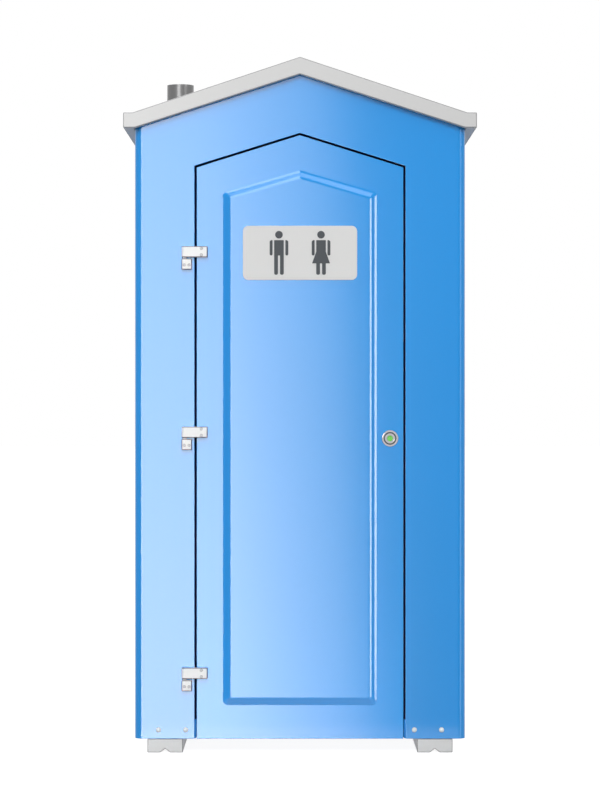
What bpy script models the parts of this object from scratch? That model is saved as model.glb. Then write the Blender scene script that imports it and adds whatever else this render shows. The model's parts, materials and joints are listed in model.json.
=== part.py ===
"""A portable toilet in metres: +Z up, the door towards -Y, the origin on the ground under its middle."""

import math

import bmesh
import bpy
from mathutils import Matrix, Vector

# Fits and working allowances
TOUCH = 0.0003  # gap between two pieces that touch
OVERRUN = 0.010  # how far a cutter passes the face that it cuts
WELD = 0.00001
CORNER_STEPS = 6
EMBOSS_STEPS = 8
ROUND_STEPS = 32
SCREW_STEPS = 12
PIN_STEPS = 24

# Cabin
CABIN_WIDTH = 1.095
CABIN_DEPTH = 1.150
CABIN_BASE = 0.0455
WALL_SHEET = 0.004
CORNER_RADIUS = 0.027
CORNER_RETURN = 0.060
RIDGE_HEIGHT = 2.300

# Roof
EAVE_OVERHANG = 0.0365
GABLE_OVERHANG = 0.030
ROOF_SHEET = 0.004
ROOF_SLOPE_SHARE = 0.332
SOFFIT_SLOPE_SHARE = 0.3246
RIDGE_FASCIA = 0.057
EAVE_TOP_FLANGE = 0.0312
EAVE_UNDER_FLANGE = 0.0395
SOFFIT_CLEARANCE = 0.001

# Skids
SKID_INSET = 0.101
SKID_WIDTH = 0.117
GROOVE_WIDTH = 0.032
GROOVE_HEIGHT = 0.0126

# Floor pan
PAN_TOP = 0.108
PAN_SHEET = 0.005
PAN_CORNER_RADIUS = 0.024
PAN_POCKET_COLUMNS = 1
PAN_POCKET_ROWS = 3
SILL_SETBACK = 0.012
SILL_CLEARANCE = 0.0021

# Door and doorway
DOOR_WIDTH = 0.6838
DOOR_APEX_DROP = 0.2563
DOOR_SLOPE_SHARE = 0.312
DOOR_THICKNESS = 0.036
DOOR_SHEET = 0.004
DOOR_GAP = 0.0073

# Raised panel of the door
PANEL_MARGIN = 0.0844
PANEL_BASE_RISE = 0.109
PANEL_APEX_DROP = 0.1137
PANEL_SLOPE_SHARE = 0.290
PANEL_RISE = 0.014
PANEL_STEP = 0.031
PANEL_FOOT_RADIUS = 0.014
PANEL_CREST_RADIUS = 0.005

# Raised panels of the other walls
WALL_PANEL_RISE = 0.008
WALL_PANEL_STEP = 0.024
WALL_PANEL_RADIUS = 0.030
SIDE_PANEL_MARGIN = 0.215
BACK_PANEL_MARGIN = 0.1575
WALL_PANEL_BASE_RISE = 0.2045
SIDE_PANEL_BELOW_VENT = 0.100
BACK_PANEL_DROP = 0.235

# Vent grilles
VENT_WIDTH = 0.430
VENT_HEIGHT = 0.140
VENT_DROP = 0.195
GRILLE_MARGIN = 0.020
GRILLE_SHEET = 0.003
GRILLE_SLOTS = 6
GRILLE_BAR = 0.010

# Door frame
FRAME_SHEET = 0.004
FRAME_FLANGE = 0.0508
LIP_COVER = 0.0089
LIP_CLEARANCE = 0.004

# Hinges
UPPER_HINGE_DROP = 0.3865
LOWER_HINGE_RISE = 0.2179
MIDDLE_HINGE_SHARE = 0.572
HINGE_PAST_DOOR = 0.0494
HINGE_KNUCKLE_RADIUS = 0.0097
STRAP_LENGTH = 0.0853
STRAP_HEIGHT = 0.036
BLOCK_WIDTH = 0.0335
BLOCK_HEIGHT = 0.0357
WASHER_GAP = 0.005
WASHER_RADIUS = 0.008
PIN_RADIUS = 0.0035
PIN_DEPTH_IN_BLOCK = 0.014
SCREW_RADIUS = 0.0025
SCREW_HEAD_RADIUS = 0.0048
SCREW_HEAD_HEIGHT = 0.0022
NUT_PLATE = 0.003
NUT_PLATE_MARGIN = 0.007
STRAP_SCREW_INSET = 0.020
STRAP_SCREW_SPACING = 0.0212
BLOCK_SCREW_SPACING = 0.0156
BLOCK_SCREW_DROP = 0.003

# Rivets that hold the front wall to the floor pan
RIVET_FROM_CORNER = 0.0789
RIVET_FROM_DOORWAY = 0.0293
RIVET_RISE = 0.0295
RIVET_HEAD_RADIUS = 0.009
RIVET_HEAD_HEIGHT = 0.003
RIVET_RADIUS = 0.003
RIVET_LENGTH = 0.016

# Sign plate and its figures
SIGN_WIDTH = 0.3775
SIGN_HEIGHT = 0.179
SIGN_DROP = 0.3904
SIGN_SHEET = 0.003
SIGN_RADIUS = 0.018
FIGURE_SHEET = 0.0008
FIGURE_SPACING = 0.139
SHOULDER_RISE = 0.0420
FOOT_DROP = 0.0725
HEAD_RADIUS = 0.0126
HEAD_RISE = 0.0599
SHOULDER_RADIUS = 0.008
ARM_OUTER = 0.0303
ARM_WIDTH = 0.0086
ARM_END_DROP = 0.0087
ARMPIT_RISE = 0.0317
TORSO_HALF = 0.0159
CROTCH_DROP = 0.0087
LEG_INNER = 0.0035
WAIST_RISE = 0.0087
SKIRT_HALF = 0.0295
SKIRT_HEM_DROP = 0.0349
WOMAN_TORSO_HALF = 0.0125
WOMAN_ARM_END_RISE = 0.0027
WOMAN_LEG_OUTER = 0.0160
WOMAN_LEG_INNER = 0.0033

# Lock
LOCK_INSET = 0.0439
LOCK_HEIGHT = 1.040
ROSE_RADIUS = 0.0281
ROSE_INNER_RADIUS = 0.0199
ROSE_HEIGHT = 0.0062
BARREL_RADIUS = 0.0170
BARREL_HEIGHT = 0.0060
BARREL_SHANK_RADIUS = 0.0125
BARREL_SHANK_LENGTH = 0.0060
WINDOW_RADIUS = 0.0093
WINDOW_LEDGE = 0.0016
WINDOW_SHEET = 0.0025
DISH_DEPTH = 0.0045
INDICATOR_SHEET = 0.0012
INDICATOR_BEHIND_BARREL = 0.0015
INDICATOR_HEIGHT = 0.022
INDICATOR_MARGIN = 0.0006
ARM_SHEET = 0.003
CASE_SHEET = 0.002
CASE_DEPTH = 0.0287
CASE_HEIGHT = 0.052
CASE_LEFT = 0.034
CASE_RIGHT = 0.0275
CRANK_RADIUS = 0.014
CRANK_PIN_RADIUS = 0.0025
CRANK_SLOT_CLEARANCE = 0.0006
CRANK_DISC_RADIUS = 0.0175
CRANK_DISC_SHEET = 0.0050
BOLT_SHEET = 0.008
BOLT_CLEARANCE = 0.0005
BOLT_BODY_RIGHT = 0.005
BOLT_NOSE_HEIGHT = 0.023
BOLT_BODY_BASE = 0.012
BOLT_BODY_TOP = 0.0215
BOLT_NOSE_PROUD = 0.0007
KEEPER_SHEET = 0.0012
KEEPER_HEIGHT = 0.070
TURN_SHAFT_RADIUS = 0.0058
TURN_BOSS_RADIUS = 0.014
TURN_BOSS_LENGTH = 0.0095
TURN_LEVER_LENGTH = 0.062
TURN_LEVER_WIDTH = 0.013
TURN_LEVER_SHEET = 0.0105

# Inside door pull
PULL_FROM_LOCK = 0.093
PULL_LENGTH = 0.150
PULL_REACH = 0.042
PULL_RADIUS = 0.007
PULL_BEND = 0.018

# Coat hook
HOOK_FROM_FRONT = 0.275
HOOK_ABOVE_PANEL = 0.050
HOOK_PLATE_WIDTH = 0.030
HOOK_PLATE_HEIGHT = 0.060
HOOK_PLATE_SHEET = 0.003
HOOK_RADIUS = 0.004
HOOK_REACH = 0.045
HOOK_RISE = 0.030

# Waste tank and seat deck
TANK_LENGTH = 0.492
TANK_TOE = 0.030
TANK_FROM_BACK = 0.023
TANK_SHEET = 0.005
TANK_EDGE_RADIUS = 0.025
DECK_HEIGHT = 0.530
DROP_INSET = 0.267
DROP_HALF_WIDTH = 0.105
DROP_HALF_LENGTH = 0.130

# Seat and lid
SEAT_HALF_WIDTH = 0.178
SEAT_HALF_LENGTH = 0.205
SEAT_HOLE_HALF_WIDTH = 0.112
SEAT_HOLE_HALF_LENGTH = 0.137
SEAT_SHEET = 0.016
LID_SHEET = 0.010
LID_OVERHANG = 0.002
LID_ABOVE_SEAT = 0.0015
SEAT_EDGE = 0.003
SEAT_AXIS_INSET = 0.047
SEAT_AXIS_ABOVE_DECK = 0.020
SEAT_KNUCKLE_RADIUS = 0.008
SEAT_ROD_RADIUS = 0.004
SEAT_LUG_WIDTH = 0.024
SEAT_LUG_GAP = 0.002
LID_LUG_START = 0.040
SEAT_LUG_REACH = 0.052
LID_LUG_REACH = 0.040
SEAT_LUG_TURN = (math.radians(-90), math.radians(180))
LID_LUG_TURN = (math.radians(-120), math.radians(120))
POST_DEPTH = 0.030
POST_ABOVE_AXIS = 0.012
ROD_PROUD = 0.003
LID_REST_ANGLE = math.radians(97)

# Vent pipe
PIPE_SIDE_INSET = 0.1095
PIPE_BACK_INSET = 0.155
PIPE_RADIUS = 0.0487
PIPE_SHEET = 0.0015
PIPE_ABOVE_RIDGE = 0.0195
PIPE_IN_TANK = 0.030
PIPE_CLEARANCE = 0.0008
BOOT_FLANGE_RADIUS = 0.085
BOOT_FLANGE_SHEET = 0.004
BOOT_COLLAR_RADIUS = 0.056
BOOT_HEIGHT = 0.052
UPPER_BRACKET_DROP = 0.415
LOWER_BRACKET_RISE = 0.420
BRACKET_BAND = 0.003
BRACKET_WIDTH = 0.026
BRACKET_ARM = 0.012
BRACKET_FOOT = 0.060

# Paper holder
PAPER_FROM_TANK = 0.140
PAPER_ABOVE_DECK = 0.290
HOLDER_SHEET = 0.003
HOLDER_INNER_WIDTH = 0.114
HOLDER_REACH = 0.075
HOLDER_HEIGHT = 0.060
SPINDLE_FROM_WALL = 0.063
SPINDLE_RADIUS = 0.019
SPINDLE_PIN_RADIUS = 0.004
SPINDLE_END_GAP = 0.0005
ROLL_RADIUS = 0.052
ROLL_WIDTH = 0.100
CORE_CLEARANCE = 0.0005

# Colour, roughness and metallic value of each finish
FINISHES = {
    "blue": ((0.28, 0.58, 0.90), 0.35, 0.0),
    "pale": ((0.78, 0.79, 0.80), 0.45, 0.0),
    "grey": ((0.55, 0.56, 0.57), 0.60, 0.0),
    "pipe": ((0.46, 0.46, 0.47), 0.30, 0.0),
    "dark": ((0.06, 0.06, 0.07), 0.45, 0.0),
    "figure": ((0.11, 0.12, 0.14), 0.50, 0.0),
    "white": ((0.90, 0.90, 0.90), 0.30, 0.0),
    "steel": ((0.55, 0.55, 0.56), 0.30, 1.0),
    "chrome": ((0.85, 0.86, 0.88), 0.10, 1.0),
    "green": ((0.15, 0.80, 0.20), 0.40, 0.0),
    "paper": ((0.93, 0.92, 0.89), 0.90, 0.0),
    "clear": ((0.95, 0.98, 0.96), 0.05, 0.0),
}

# Each way that an outline can face, as the columns across, up and out
FACINGS = {
    "front": Matrix(((1, 0, 0), (0, 0, -1), (0, 1, 0))),
    "back": Matrix(((-1, 0, 0), (0, 0, 1), (0, 1, 0))),
    "left": Matrix(((0, 0, -1), (-1, 0, 0), (0, 1, 0))),
    "right": Matrix(((0, 0, 1), (1, 0, 0), (0, 1, 0))),
    "up": Matrix(((1, 0, 0), (0, 1, 0), (0, 0, 1))),
}
SIDES = {"left": -1, "right": 1}

# Places worked out from the sizes above
ROOF_WIDTH = CABIN_WIDTH + 2 * EAVE_OVERHANG
ROOF_DEPTH = CABIN_DEPTH + 2 * GABLE_OVERHANG
HALF_WIDTH = CABIN_WIDTH / 2
FRONT_FACE = CABIN_DEPTH / 2
SKID_CENTRE = HALF_WIDTH - SKID_INSET
FRONT_INNER = FRONT_FACE - WALL_SHEET
SIDE_OUTER = HALF_WIDTH - WALL_SHEET - TOUCH
SIDE_INNER = SIDE_OUTER - WALL_SHEET
SIDE_HALF_LENGTH = FRONT_FACE - CORNER_RADIUS - TOUCH
ROOF_SLANT = math.hypot(1, ROOF_SLOPE_SHARE)
SOFFIT_SLANT = math.hypot(1, SOFFIT_SLOPE_SHARE)
DOOR_SLANT = math.hypot(1, DOOR_SLOPE_SHARE)
WALL_APEX = RIDGE_HEIGHT - (ROOF_SHEET + TOUCH) * ROOF_SLANT
EAVE_HEIGHT = WALL_APEX - ROOF_SLOPE_SHARE * SIDE_OUTER
VENT_TOP = EAVE_HEIGHT - VENT_DROP
VENT_BASE = VENT_TOP - VENT_HEIGHT
WALL_PANEL_BASE = CABIN_BASE + WALL_PANEL_BASE_RISE
SIDE_PANEL_TOP = VENT_BASE - SIDE_PANEL_BELOW_VENT
BACK_PANEL_TOP = EAVE_HEIGHT - BACK_PANEL_DROP
SIDE_PANEL_WIDTH = CABIN_DEPTH - 2 * SIDE_PANEL_MARGIN
BACK_PANEL_WIDTH = CABIN_WIDTH - 2 * BACK_PANEL_MARGIN
DOOR_APEX = RIDGE_HEIGHT - DOOR_APEX_DROP
PANEL_WIDTH = DOOR_WIDTH - 2 * PANEL_MARGIN
PANEL_BASE = CABIN_BASE + PANEL_BASE_RISE
PANEL_APEX = DOOR_APEX - PANEL_APEX_DROP
DOORWAY_HALF = DOOR_WIDTH / 2 + DOOR_GAP
DOORWAY_APEX = DOOR_APEX + DOOR_GAP * DOOR_SLANT
DOOR_BACK = FRONT_FACE - DOOR_THICKNESS
LIP_FRONT = DOOR_BACK - LIP_CLEARANCE
LIP_BACK = LIP_FRONT - FRAME_SHEET
PANEL_FACE = FRONT_FACE + PANEL_RISE
HINGE_LEFT = DOOR_WIDTH / 2 + HINGE_PAST_DOOR
UPPER_HINGE = DOOR_APEX - UPPER_HINGE_DROP
LOWER_HINGE = CABIN_BASE + LOWER_HINGE_RISE
MIDDLE_HINGE = LOWER_HINGE + MIDDLE_HINGE_SHARE * (UPPER_HINGE - LOWER_HINGE)
HINGE_HEIGHTS = {"upper": UPPER_HINGE, "middle": MIDDLE_HINGE, "lower": LOWER_HINGE}
RIVET_HEIGHT = CABIN_BASE + RIVET_RISE
OUTER_RIVET = HALF_WIDTH - RIVET_FROM_CORNER
INNER_RIVET = DOORWAY_HALF + RIVET_FROM_DOORWAY
RIVET_PLACES = {"1": -OUTER_RIVET, "2": -INNER_RIVET, "3": INNER_RIVET, "4": OUTER_RIVET}
SIGN_CENTRE = DOOR_APEX - SIGN_DROP
SHOULDER = SIGN_CENTRE + SHOULDER_RISE
FIGURE_FOOT = SIGN_CENTRE - FOOT_DROP
HEAD_CENTRE = SIGN_CENTRE + HEAD_RISE
ARM_END = SIGN_CENTRE - ARM_END_DROP
ARMPIT = SIGN_CENTRE + ARMPIT_RISE
CROTCH = SIGN_CENTRE - CROTCH_DROP
WAIST = SIGN_CENTRE + WAIST_RISE
SKIRT_HEM = SIGN_CENTRE - SKIRT_HEM_DROP
WOMAN_ARM_END = SIGN_CENTRE + WOMAN_ARM_END_RISE
LOCK_X = DOOR_WIDTH / 2 - LOCK_INSET
PULL_X = LOCK_X - PULL_FROM_LOCK
HINGE_AXIS_X = HINGE_KNUCKLE_RADIUS - HINGE_LEFT
HINGE_AXIS_OUT = FRONT_FACE + TOUCH + HINGE_KNUCKLE_RADIUS
HINGE_FRONT = HINGE_AXIS_OUT + HINGE_KNUCKLE_RADIUS
CRANK_SIDE = CRANK_RADIUS / math.sqrt(2)
BOLT_TRAVEL = 2 * CRANK_SIDE
BOLT_FRONT = LIP_BACK - TOUCH - KEEPER_SHEET - BOLT_CLEARANCE
BOLT_BACK = BOLT_FRONT - BOLT_SHEET
CASE_COVER = DOOR_BACK - TOUCH - CASE_DEPTH
HOOK_Y = HOOK_FROM_FRONT - FRONT_FACE
HOOK_HEIGHT = SIDE_PANEL_TOP + HOOK_ABOVE_PANEL
TANK_BACK = FRONT_FACE - TANK_FROM_BACK
TANK_FRONT = TANK_BACK - TANK_LENGTH
DROP_CENTRE = TANK_BACK - DROP_INSET
SEAT_AXIS_Y = TANK_BACK - SEAT_AXIS_INSET
PIPE_X = PIPE_SIDE_INSET - HALF_WIDTH
PIPE_Y = FRONT_FACE - PIPE_BACK_INSET
PIPE_TOP = RIDGE_HEIGHT + PIPE_ABOVE_RIDGE
UPPER_BRACKET = EAVE_HEIGHT - UPPER_BRACKET_DROP
LOWER_BRACKET = DECK_HEIGHT + LOWER_BRACKET_RISE
BRACKET_HEIGHTS = {"upper": UPPER_BRACKET, "lower": LOWER_BRACKET}
SEAT_AXIS_HEIGHT = DECK_HEIGHT + SEAT_AXIS_ABOVE_DECK
SEAT_TOP = DECK_HEIGHT + TOUCH + SEAT_SHEET
RECESS_FACE = SIDE_INNER + WALL_PANEL_RISE
PAPER_X = RECESS_FACE - SPINDLE_FROM_WALL
PAPER_Y = TANK_FRONT - PAPER_FROM_TANK
PAPER_HEIGHT = DECK_HEIGHT + PAPER_ABOVE_DECK


def empty_scene():
    for item in list(bpy.data.objects):
        bpy.data.objects.remove(item)


def new_collection(name):
    collection = bpy.data.collections.new(name)
    bpy.context.scene.collection.children.link(collection)
    return collection


def new_material(name, finish):
    colour, roughness, metallic = FINISHES[finish]
    material = bpy.data.materials.new(name)
    material.use_nodes = True
    shader = material.node_tree.nodes["Principled BSDF"]
    shader.inputs["Base Color"].default_value = (*colour, 1)
    shader.inputs["Roughness"].default_value = roughness
    shader.inputs["Metallic"].default_value = metallic
    material.diffuse_color = (*colour, 1)
    return material


def hang(item, axis):
    """Parent an item to a joint's empty, and leave it where it is."""
    item.parent = axis
    item.matrix_parent_inverse = axis.matrix_basis.inverted()


def add(name, mesh, matrix, finish=None, axis=None):
    """Place a mesh as a part or, with no finish, as a hidden cutter."""
    item = bpy.data.objects.new(name, mesh)
    item.matrix_basis = matrix
    if finish:
        PARTS.objects.link(item)
        mesh.materials.append(new_material(name, finish))
    else:
        CUTTERS.objects.link(item)
        item.hide_render = True
        item.display_type = "WIRE"
    if axis:
        hang(item, axis)
    return item


def add_axis(name, location, parent=None):
    """An empty on a joint's axis, which carries the pieces that move."""
    axis = bpy.data.objects.new(name, None)
    axis.matrix_basis = Matrix.Translation(location)
    PARTS.objects.link(axis)
    if parent:
        hang(axis, parent)
    return axis


def mesh_from(name, form):
    mesh = bpy.data.meshes.new(name)
    form.to_mesh(mesh)
    form.free()
    return mesh


def placed(facing, across=0, up=0, out=0):
    return FACINGS[facing].to_4x4() @ Matrix.Translation((across, up, out))


def smooth(item, angle=math.radians(35)):
    item.data.shade_smooth()
    item.data.set_sharp_from_angle(angle=angle)
    return item


def block(name, low, high, finish=None, axis=None):
    low, high = Vector(low), Vector(high)
    form = bmesh.new()
    bmesh.ops.create_cube(form, size=1)
    bmesh.ops.scale(form, vec=high - low, verts=form.verts)
    return add(name, mesh_from(name, form), Matrix.Translation((low + high) / 2), finish, axis)


def rod(name, radius, facing, centre, low, high, finish=None, axis=None, steps=ROUND_STEPS):
    """A cylinder that runs from low to high along the way it faces."""
    form = bmesh.new()
    bmesh.ops.create_cone(
        form, cap_ends=True, segments=steps, radius1=radius, radius2=radius, depth=high - low
    )
    item = add(name, mesh_from(name, form), placed(facing, *centre, (low + high) / 2), finish, axis)
    return smooth(item)


def turned(name, profile, facing, centre, finish=None, axis=None, steps=ROUND_STEPS, ring=False):
    """A profile of (radius, out) points, down its outer side, turned about the way it faces."""
    form = bmesh.new()
    points = [form.verts.new((radius, 0, out)) for radius, out in profile]
    for start, end in zip(points, points[1:] + points[:1] if ring else points[1:]):
        form.edges.new((start, end))
    item = add(name, mesh_from(name, form), placed(facing, *centre), finish, axis)
    screw = item.modifiers.new("turn", "SCREW")
    screw.steps = screw.render_steps = steps
    screw.use_merge_vertices = True
    screw.merge_threshold = WELD
    screw.use_smooth_shade = False
    return item


def mesh_of_curve(name, curve):
    """The welded mesh of a filled or bevelled curve."""
    guide = bpy.data.objects.new(name, curve)
    CUTTERS.objects.link(guide)
    graph = bpy.context.evaluated_depsgraph_get()
    mesh = bpy.data.meshes.new_from_object(guide.evaluated_get(graph))
    bpy.data.objects.remove(guide)
    form = bmesh.new()
    form.from_mesh(mesh)
    bmesh.ops.remove_doubles(form, verts=form.verts, dist=WELD)
    bmesh.ops.recalc_face_normals(form, faces=form.faces)
    form.to_mesh(mesh)
    form.free()
    return mesh


def plate(name, rings, facing, low, high, finish=None, axis=None):
    """A flat outline, with any further rings as holes, from low to high along the way it faces."""
    curve = bpy.data.curves.new(name, "CURVE")
    curve.dimensions = "2D"
    curve.fill_mode = "BOTH"
    curve.extrude = (high - low) / 2
    for ring in rings:
        spline = curve.splines.new("POLY")
        spline.points.add(len(ring) - 1)
        spline.use_cyclic_u = True
        for point, (across, up) in zip(spline.points, ring):
            point.co = (across, up, 0, 1)
    mesh = mesh_of_curve(name, curve)
    return add(name, mesh, placed(facing, out=(low + high) / 2), finish, axis)


def tube(name, path, radius, finish=None, axis=None):
    """A round bar along a path of points."""
    curve = bpy.data.curves.new(name, "CURVE")
    curve.dimensions = "3D"
    curve.bevel_depth = radius
    curve.bevel_resolution = 2
    curve.use_fill_caps = True
    spline = curve.splines.new("POLY")
    spline.points.add(len(path) - 1)
    for point, place in zip(spline.points, path):
        point.co = (*place, 1)
    return smooth(add(name, mesh_of_curve(name, curve), Matrix(), finish, axis))


def loft(name, sections, facing):
    """A cutter or form between (outline, out) sections with as many points each."""
    form = bmesh.new()
    rings = [[form.verts.new((*point, out)) for point in outline] for outline, out in sections]
    for lower, upper in zip(rings, rings[1:]):
        for k in range(len(lower)):
            form.faces.new((lower[k - 1], lower[k], upper[k], upper[k - 1]))
    form.faces.new(list(reversed(rings[0])))
    form.faces.new(rings[-1])
    return add(name, mesh_from(name, form), placed(facing))


def combine(item, operation, tools):
    for tool in tools:
        boolean = item.modifiers.new(tool.name, "BOOLEAN")
        boolean.operation = operation
        boolean.solver = "EXACT"
        boolean.object = tool
    return item


def cut(item, *tools):
    return combine(item, "DIFFERENCE", tools)


def fuse(item, *tools):
    return combine(item, "UNION", tools)


def bore(item, name, centre, low, high, radius=SCREW_RADIUS):
    """Cut the hole of a screw or rivet, between two distances in front of the cabin's middle."""
    return cut(item, rod(name, radius + TOUCH, "front", centre, low, high, steps=SCREW_STEPS))


def rounded(corners, radii):
    """The outline through these corners, with an arc of its radius at each one that has a radius."""
    ring = []
    for k, (corner, radius) in enumerate(zip(corners, radii)):
        if radius == 0:
            ring.append(corner)
            continue
        corner = Vector(corner)
        back = (Vector(corners[k - 1]) - corner).normalized()
        onward = (Vector(corners[(k + 1) % len(corners)]) - corner).normalized()
        half = back.angle(onward) / 2
        middle = corner + (back + onward).normalized() * (radius / math.sin(half))
        spoke = corner + back * (radius / math.tan(half)) - middle
        turn = math.copysign(math.pi - 2 * half, onward.cross(back))
        for step in range(CORNER_STEPS + 1):
            ring.append(tuple(middle + Matrix.Rotation(turn * step / CORNER_STEPS, 2) @ spoke))
    return ring


def rectangle(left, right, base, top):
    return [(left, base), (right, base), (right, top), (left, top)]


def ellipse(centre, half_width, half_height, steps=ROUND_STEPS):
    turns = [2 * math.pi * step / steps for step in range(steps)]
    return [(centre[0] + half_width * math.cos(t), centre[1] + half_height * math.sin(t)) for t in turns]


def gable(half_width, apex, slope, base):
    """A five-sided outline with a gabled top."""
    eave = apex - slope * half_width
    return [(-half_width, base), (half_width, base), (half_width, eave), (0, apex), (-half_width, eave)]


def door_outline(inset, base):
    """The door's outline, drawn in by an inset or, where it is negative, grown."""
    return gable(DOOR_WIDTH / 2 - inset, DOOR_APEX - inset * DOOR_SLANT, DOOR_SLOPE_SHARE, base)


def emboss(item, outline, facing, face, sheet, rise, step):
    """Press a raised panel out of a sheet. The outline function gives its rim for any inset."""
    for name, shift, run, join in (("form", 0, sheet / 2, fuse), ("hollow", -sheet, OVERRUN, cut)):
        sections = [(outline(0), face + shift - run)]
        for k in range(1, EMBOSS_STEPS + 1):
            along = k / EMBOSS_STEPS
            height = rise * along**2 * (3 - 2 * along)
            sections.append((outline(step * along), face + shift + height))
        join(item, loft(f"{item.name}_{name}", sections, facing))


def make_skids():
    top = CABIN_BASE - TOUCH
    for side, sign in SIDES.items():
        middle = sign * SKID_CENTRE
        outline = rectangle(middle - SKID_WIDTH / 2, middle + SKID_WIDTH / 2, 0, top)
        groove = [(middle - GROOVE_WIDTH / 2, 0), (middle, GROOVE_HEIGHT), (middle + GROOVE_WIDTH / 2, 0)]
        ring = outline[:1] + groove + outline[1:]
        plate(f"skid_{side}", [ring], "front", -FRONT_FACE, FRONT_FACE, "grey")


def make_floor_pan():
    half_width = SIDE_INNER - TOUCH
    half_depth = FRONT_INNER - TOUCH
    corners = rectangle(-half_width, half_width, -half_depth, half_depth)
    ring = rounded(corners, [PAN_CORNER_RADIUS] * len(corners))
    pan = plate("floor_pan", [ring], "up", CABIN_BASE, PAN_TOP, "blue")
    low, high = CABIN_BASE - OVERRUN, PAN_TOP + OVERRUN
    door_half = DOOR_WIDTH / 2 + SILL_CLEARANCE
    sill_half = DOORWAY_HALF + TOUCH
    front = -FRONT_FACE - OVERRUN
    cut(pan, block("pan_door_recess", (-door_half, front, low), (door_half, -LIP_FRONT, high)))
    sill = SILL_SETBACK - FRONT_FACE
    cut(pan, block("pan_sill_recess", (-sill_half, front, low), (sill_half, sill, high)))
    first_x, first_y = PAN_SHEET - half_width, PAN_SHEET - LIP_FRONT
    width = (2 * half_width - PAN_SHEET) / PAN_POCKET_COLUMNS
    depth = (half_depth + LIP_FRONT - PAN_SHEET) / PAN_POCKET_ROWS
    for column in range(PAN_POCKET_COLUMNS):
        for row in range(PAN_POCKET_ROWS):
            corner = Vector((first_x + column * width, first_y + row * depth, low))
            size = Vector((width - PAN_SHEET, depth - PAN_SHEET, PAN_TOP - PAN_SHEET - low))
            cut(pan, block(f"pan_pocket_{column}_{row}", corner, corner + size))
    hole_end = FRONT_FACE - RIVET_LENGTH - TOUCH
    for name, across in RIVET_PLACES.items():
        bore(pan, f"pan_hole_{name}", (across, RIVET_HEIGHT), hole_end, FRONT_FACE, RIVET_RADIUS)


def wrapped_wall(name, facing_sign):
    """A front or back wall that reaches round both corners, under the roof's slope."""
    inner_side, inner_face = HALF_WIDTH - WALL_SHEET, FRONT_FACE - WALL_SHEET
    back = FRONT_FACE - CORNER_RETURN
    plan = [
        (-HALF_WIDTH, back),
        (-HALF_WIDTH, FRONT_FACE),
        (HALF_WIDTH, FRONT_FACE),
        (HALF_WIDTH, back),
        (inner_side, back),
        (inner_side, inner_face),
        (-inner_side, inner_face),
        (-inner_side, back),
    ]
    inner_radius = CORNER_RADIUS - WALL_SHEET
    radii = [0, CORNER_RADIUS, CORNER_RADIUS, 0, 0, inner_radius, inner_radius, 0]
    ring = [(across, facing_sign * out) for across, out in rounded(plan, radii)]
    wall = plate(name, [ring], "up", CABIN_BASE, RIDGE_HEIGHT, "blue")
    side = HALF_WIDTH + OVERRUN
    eave = WALL_APEX - ROOF_SLOPE_SHARE * side
    above = RIDGE_HEIGHT + OVERRUN
    sky = [(-side, eave), (0, WALL_APEX), (side, eave), (side, above), (-side, above)]
    reach = FRONT_FACE + OVERRUN
    return cut(wall, plate(f"{name}_roof_line", [sky], "front", -reach, reach))


def make_front_wall():
    wall = wrapped_wall("front_wall", -1)
    doorway = gable(DOORWAY_HALF, DOORWAY_APEX, DOOR_SLOPE_SHARE, CABIN_BASE - OVERRUN)
    low, high = FRONT_INNER - OVERRUN, FRONT_FACE + OVERRUN
    cut(wall, plate("doorway", [doorway], "front", low, high))
    for name, across in RIVET_PLACES.items():
        bore(wall, f"front_rivet_hole_{name}", (across, RIVET_HEIGHT), low, high, RIVET_RADIUS)
    for k, centre in enumerate(block_screw_places()):
        bore(wall, f"front_hole_{k}", centre, low, high)


def make_back_wall():
    wall = wrapped_wall("back_wall", 1)
    emboss(
        wall,
        wall_panel(BACK_PANEL_WIDTH, BACK_PANEL_TOP),
        "back",
        FRONT_FACE,
        WALL_SHEET,
        WALL_PANEL_RISE,
        WALL_PANEL_STEP,
    )


def wall_panel(width, top):
    """The rim of a wall's raised panel, as a function of its inset."""

    def outline(inset):
        corners = rectangle(
            inset - width / 2, width / 2 - inset, WALL_PANEL_BASE + inset, top - inset
        )
        return rounded(corners, [WALL_PANEL_RADIUS] * len(corners))

    return outline


def make_side_walls():
    for side in SIDES:
        sheet = rectangle(-SIDE_HALF_LENGTH, SIDE_HALF_LENGTH, CABIN_BASE, EAVE_HEIGHT)
        wall = plate(f"{side}_wall", [sheet], side, SIDE_INNER, SIDE_OUTER, "blue")
        outline = wall_panel(SIDE_PANEL_WIDTH, SIDE_PANEL_TOP)
        emboss(wall, outline, side, SIDE_OUTER, WALL_SHEET, WALL_PANEL_RISE, WALL_PANEL_STEP)
        opening = rectangle(-VENT_WIDTH / 2, VENT_WIDTH / 2, VENT_BASE, VENT_TOP)
        low, high = SIDE_INNER - OVERRUN, SIDE_OUTER + OVERRUN
        cut(wall, plate(f"{side}_vent_opening", [opening], side, low, high))
        make_vent_grille(side)


def make_vent_grille(side):
    half = VENT_WIDTH / 2
    pitch = (VENT_TOP - VENT_BASE - GRILLE_BAR) / GRILLE_SLOTS
    margin = GRILLE_MARGIN
    rings = [rectangle(-half - margin, half + margin, VENT_BASE - margin, VENT_TOP + margin)]
    for slot in range(GRILLE_SLOTS):
        base = VENT_BASE + GRILLE_BAR + slot * pitch
        rings.append(rectangle(GRILLE_BAR - half, half - GRILLE_BAR, base, base + pitch - GRILLE_BAR))
    low = SIDE_OUTER + TOUCH
    plate(f"{side}_vent_grille", rings, side, low, low + GRILLE_SHEET, "blue")


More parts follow.
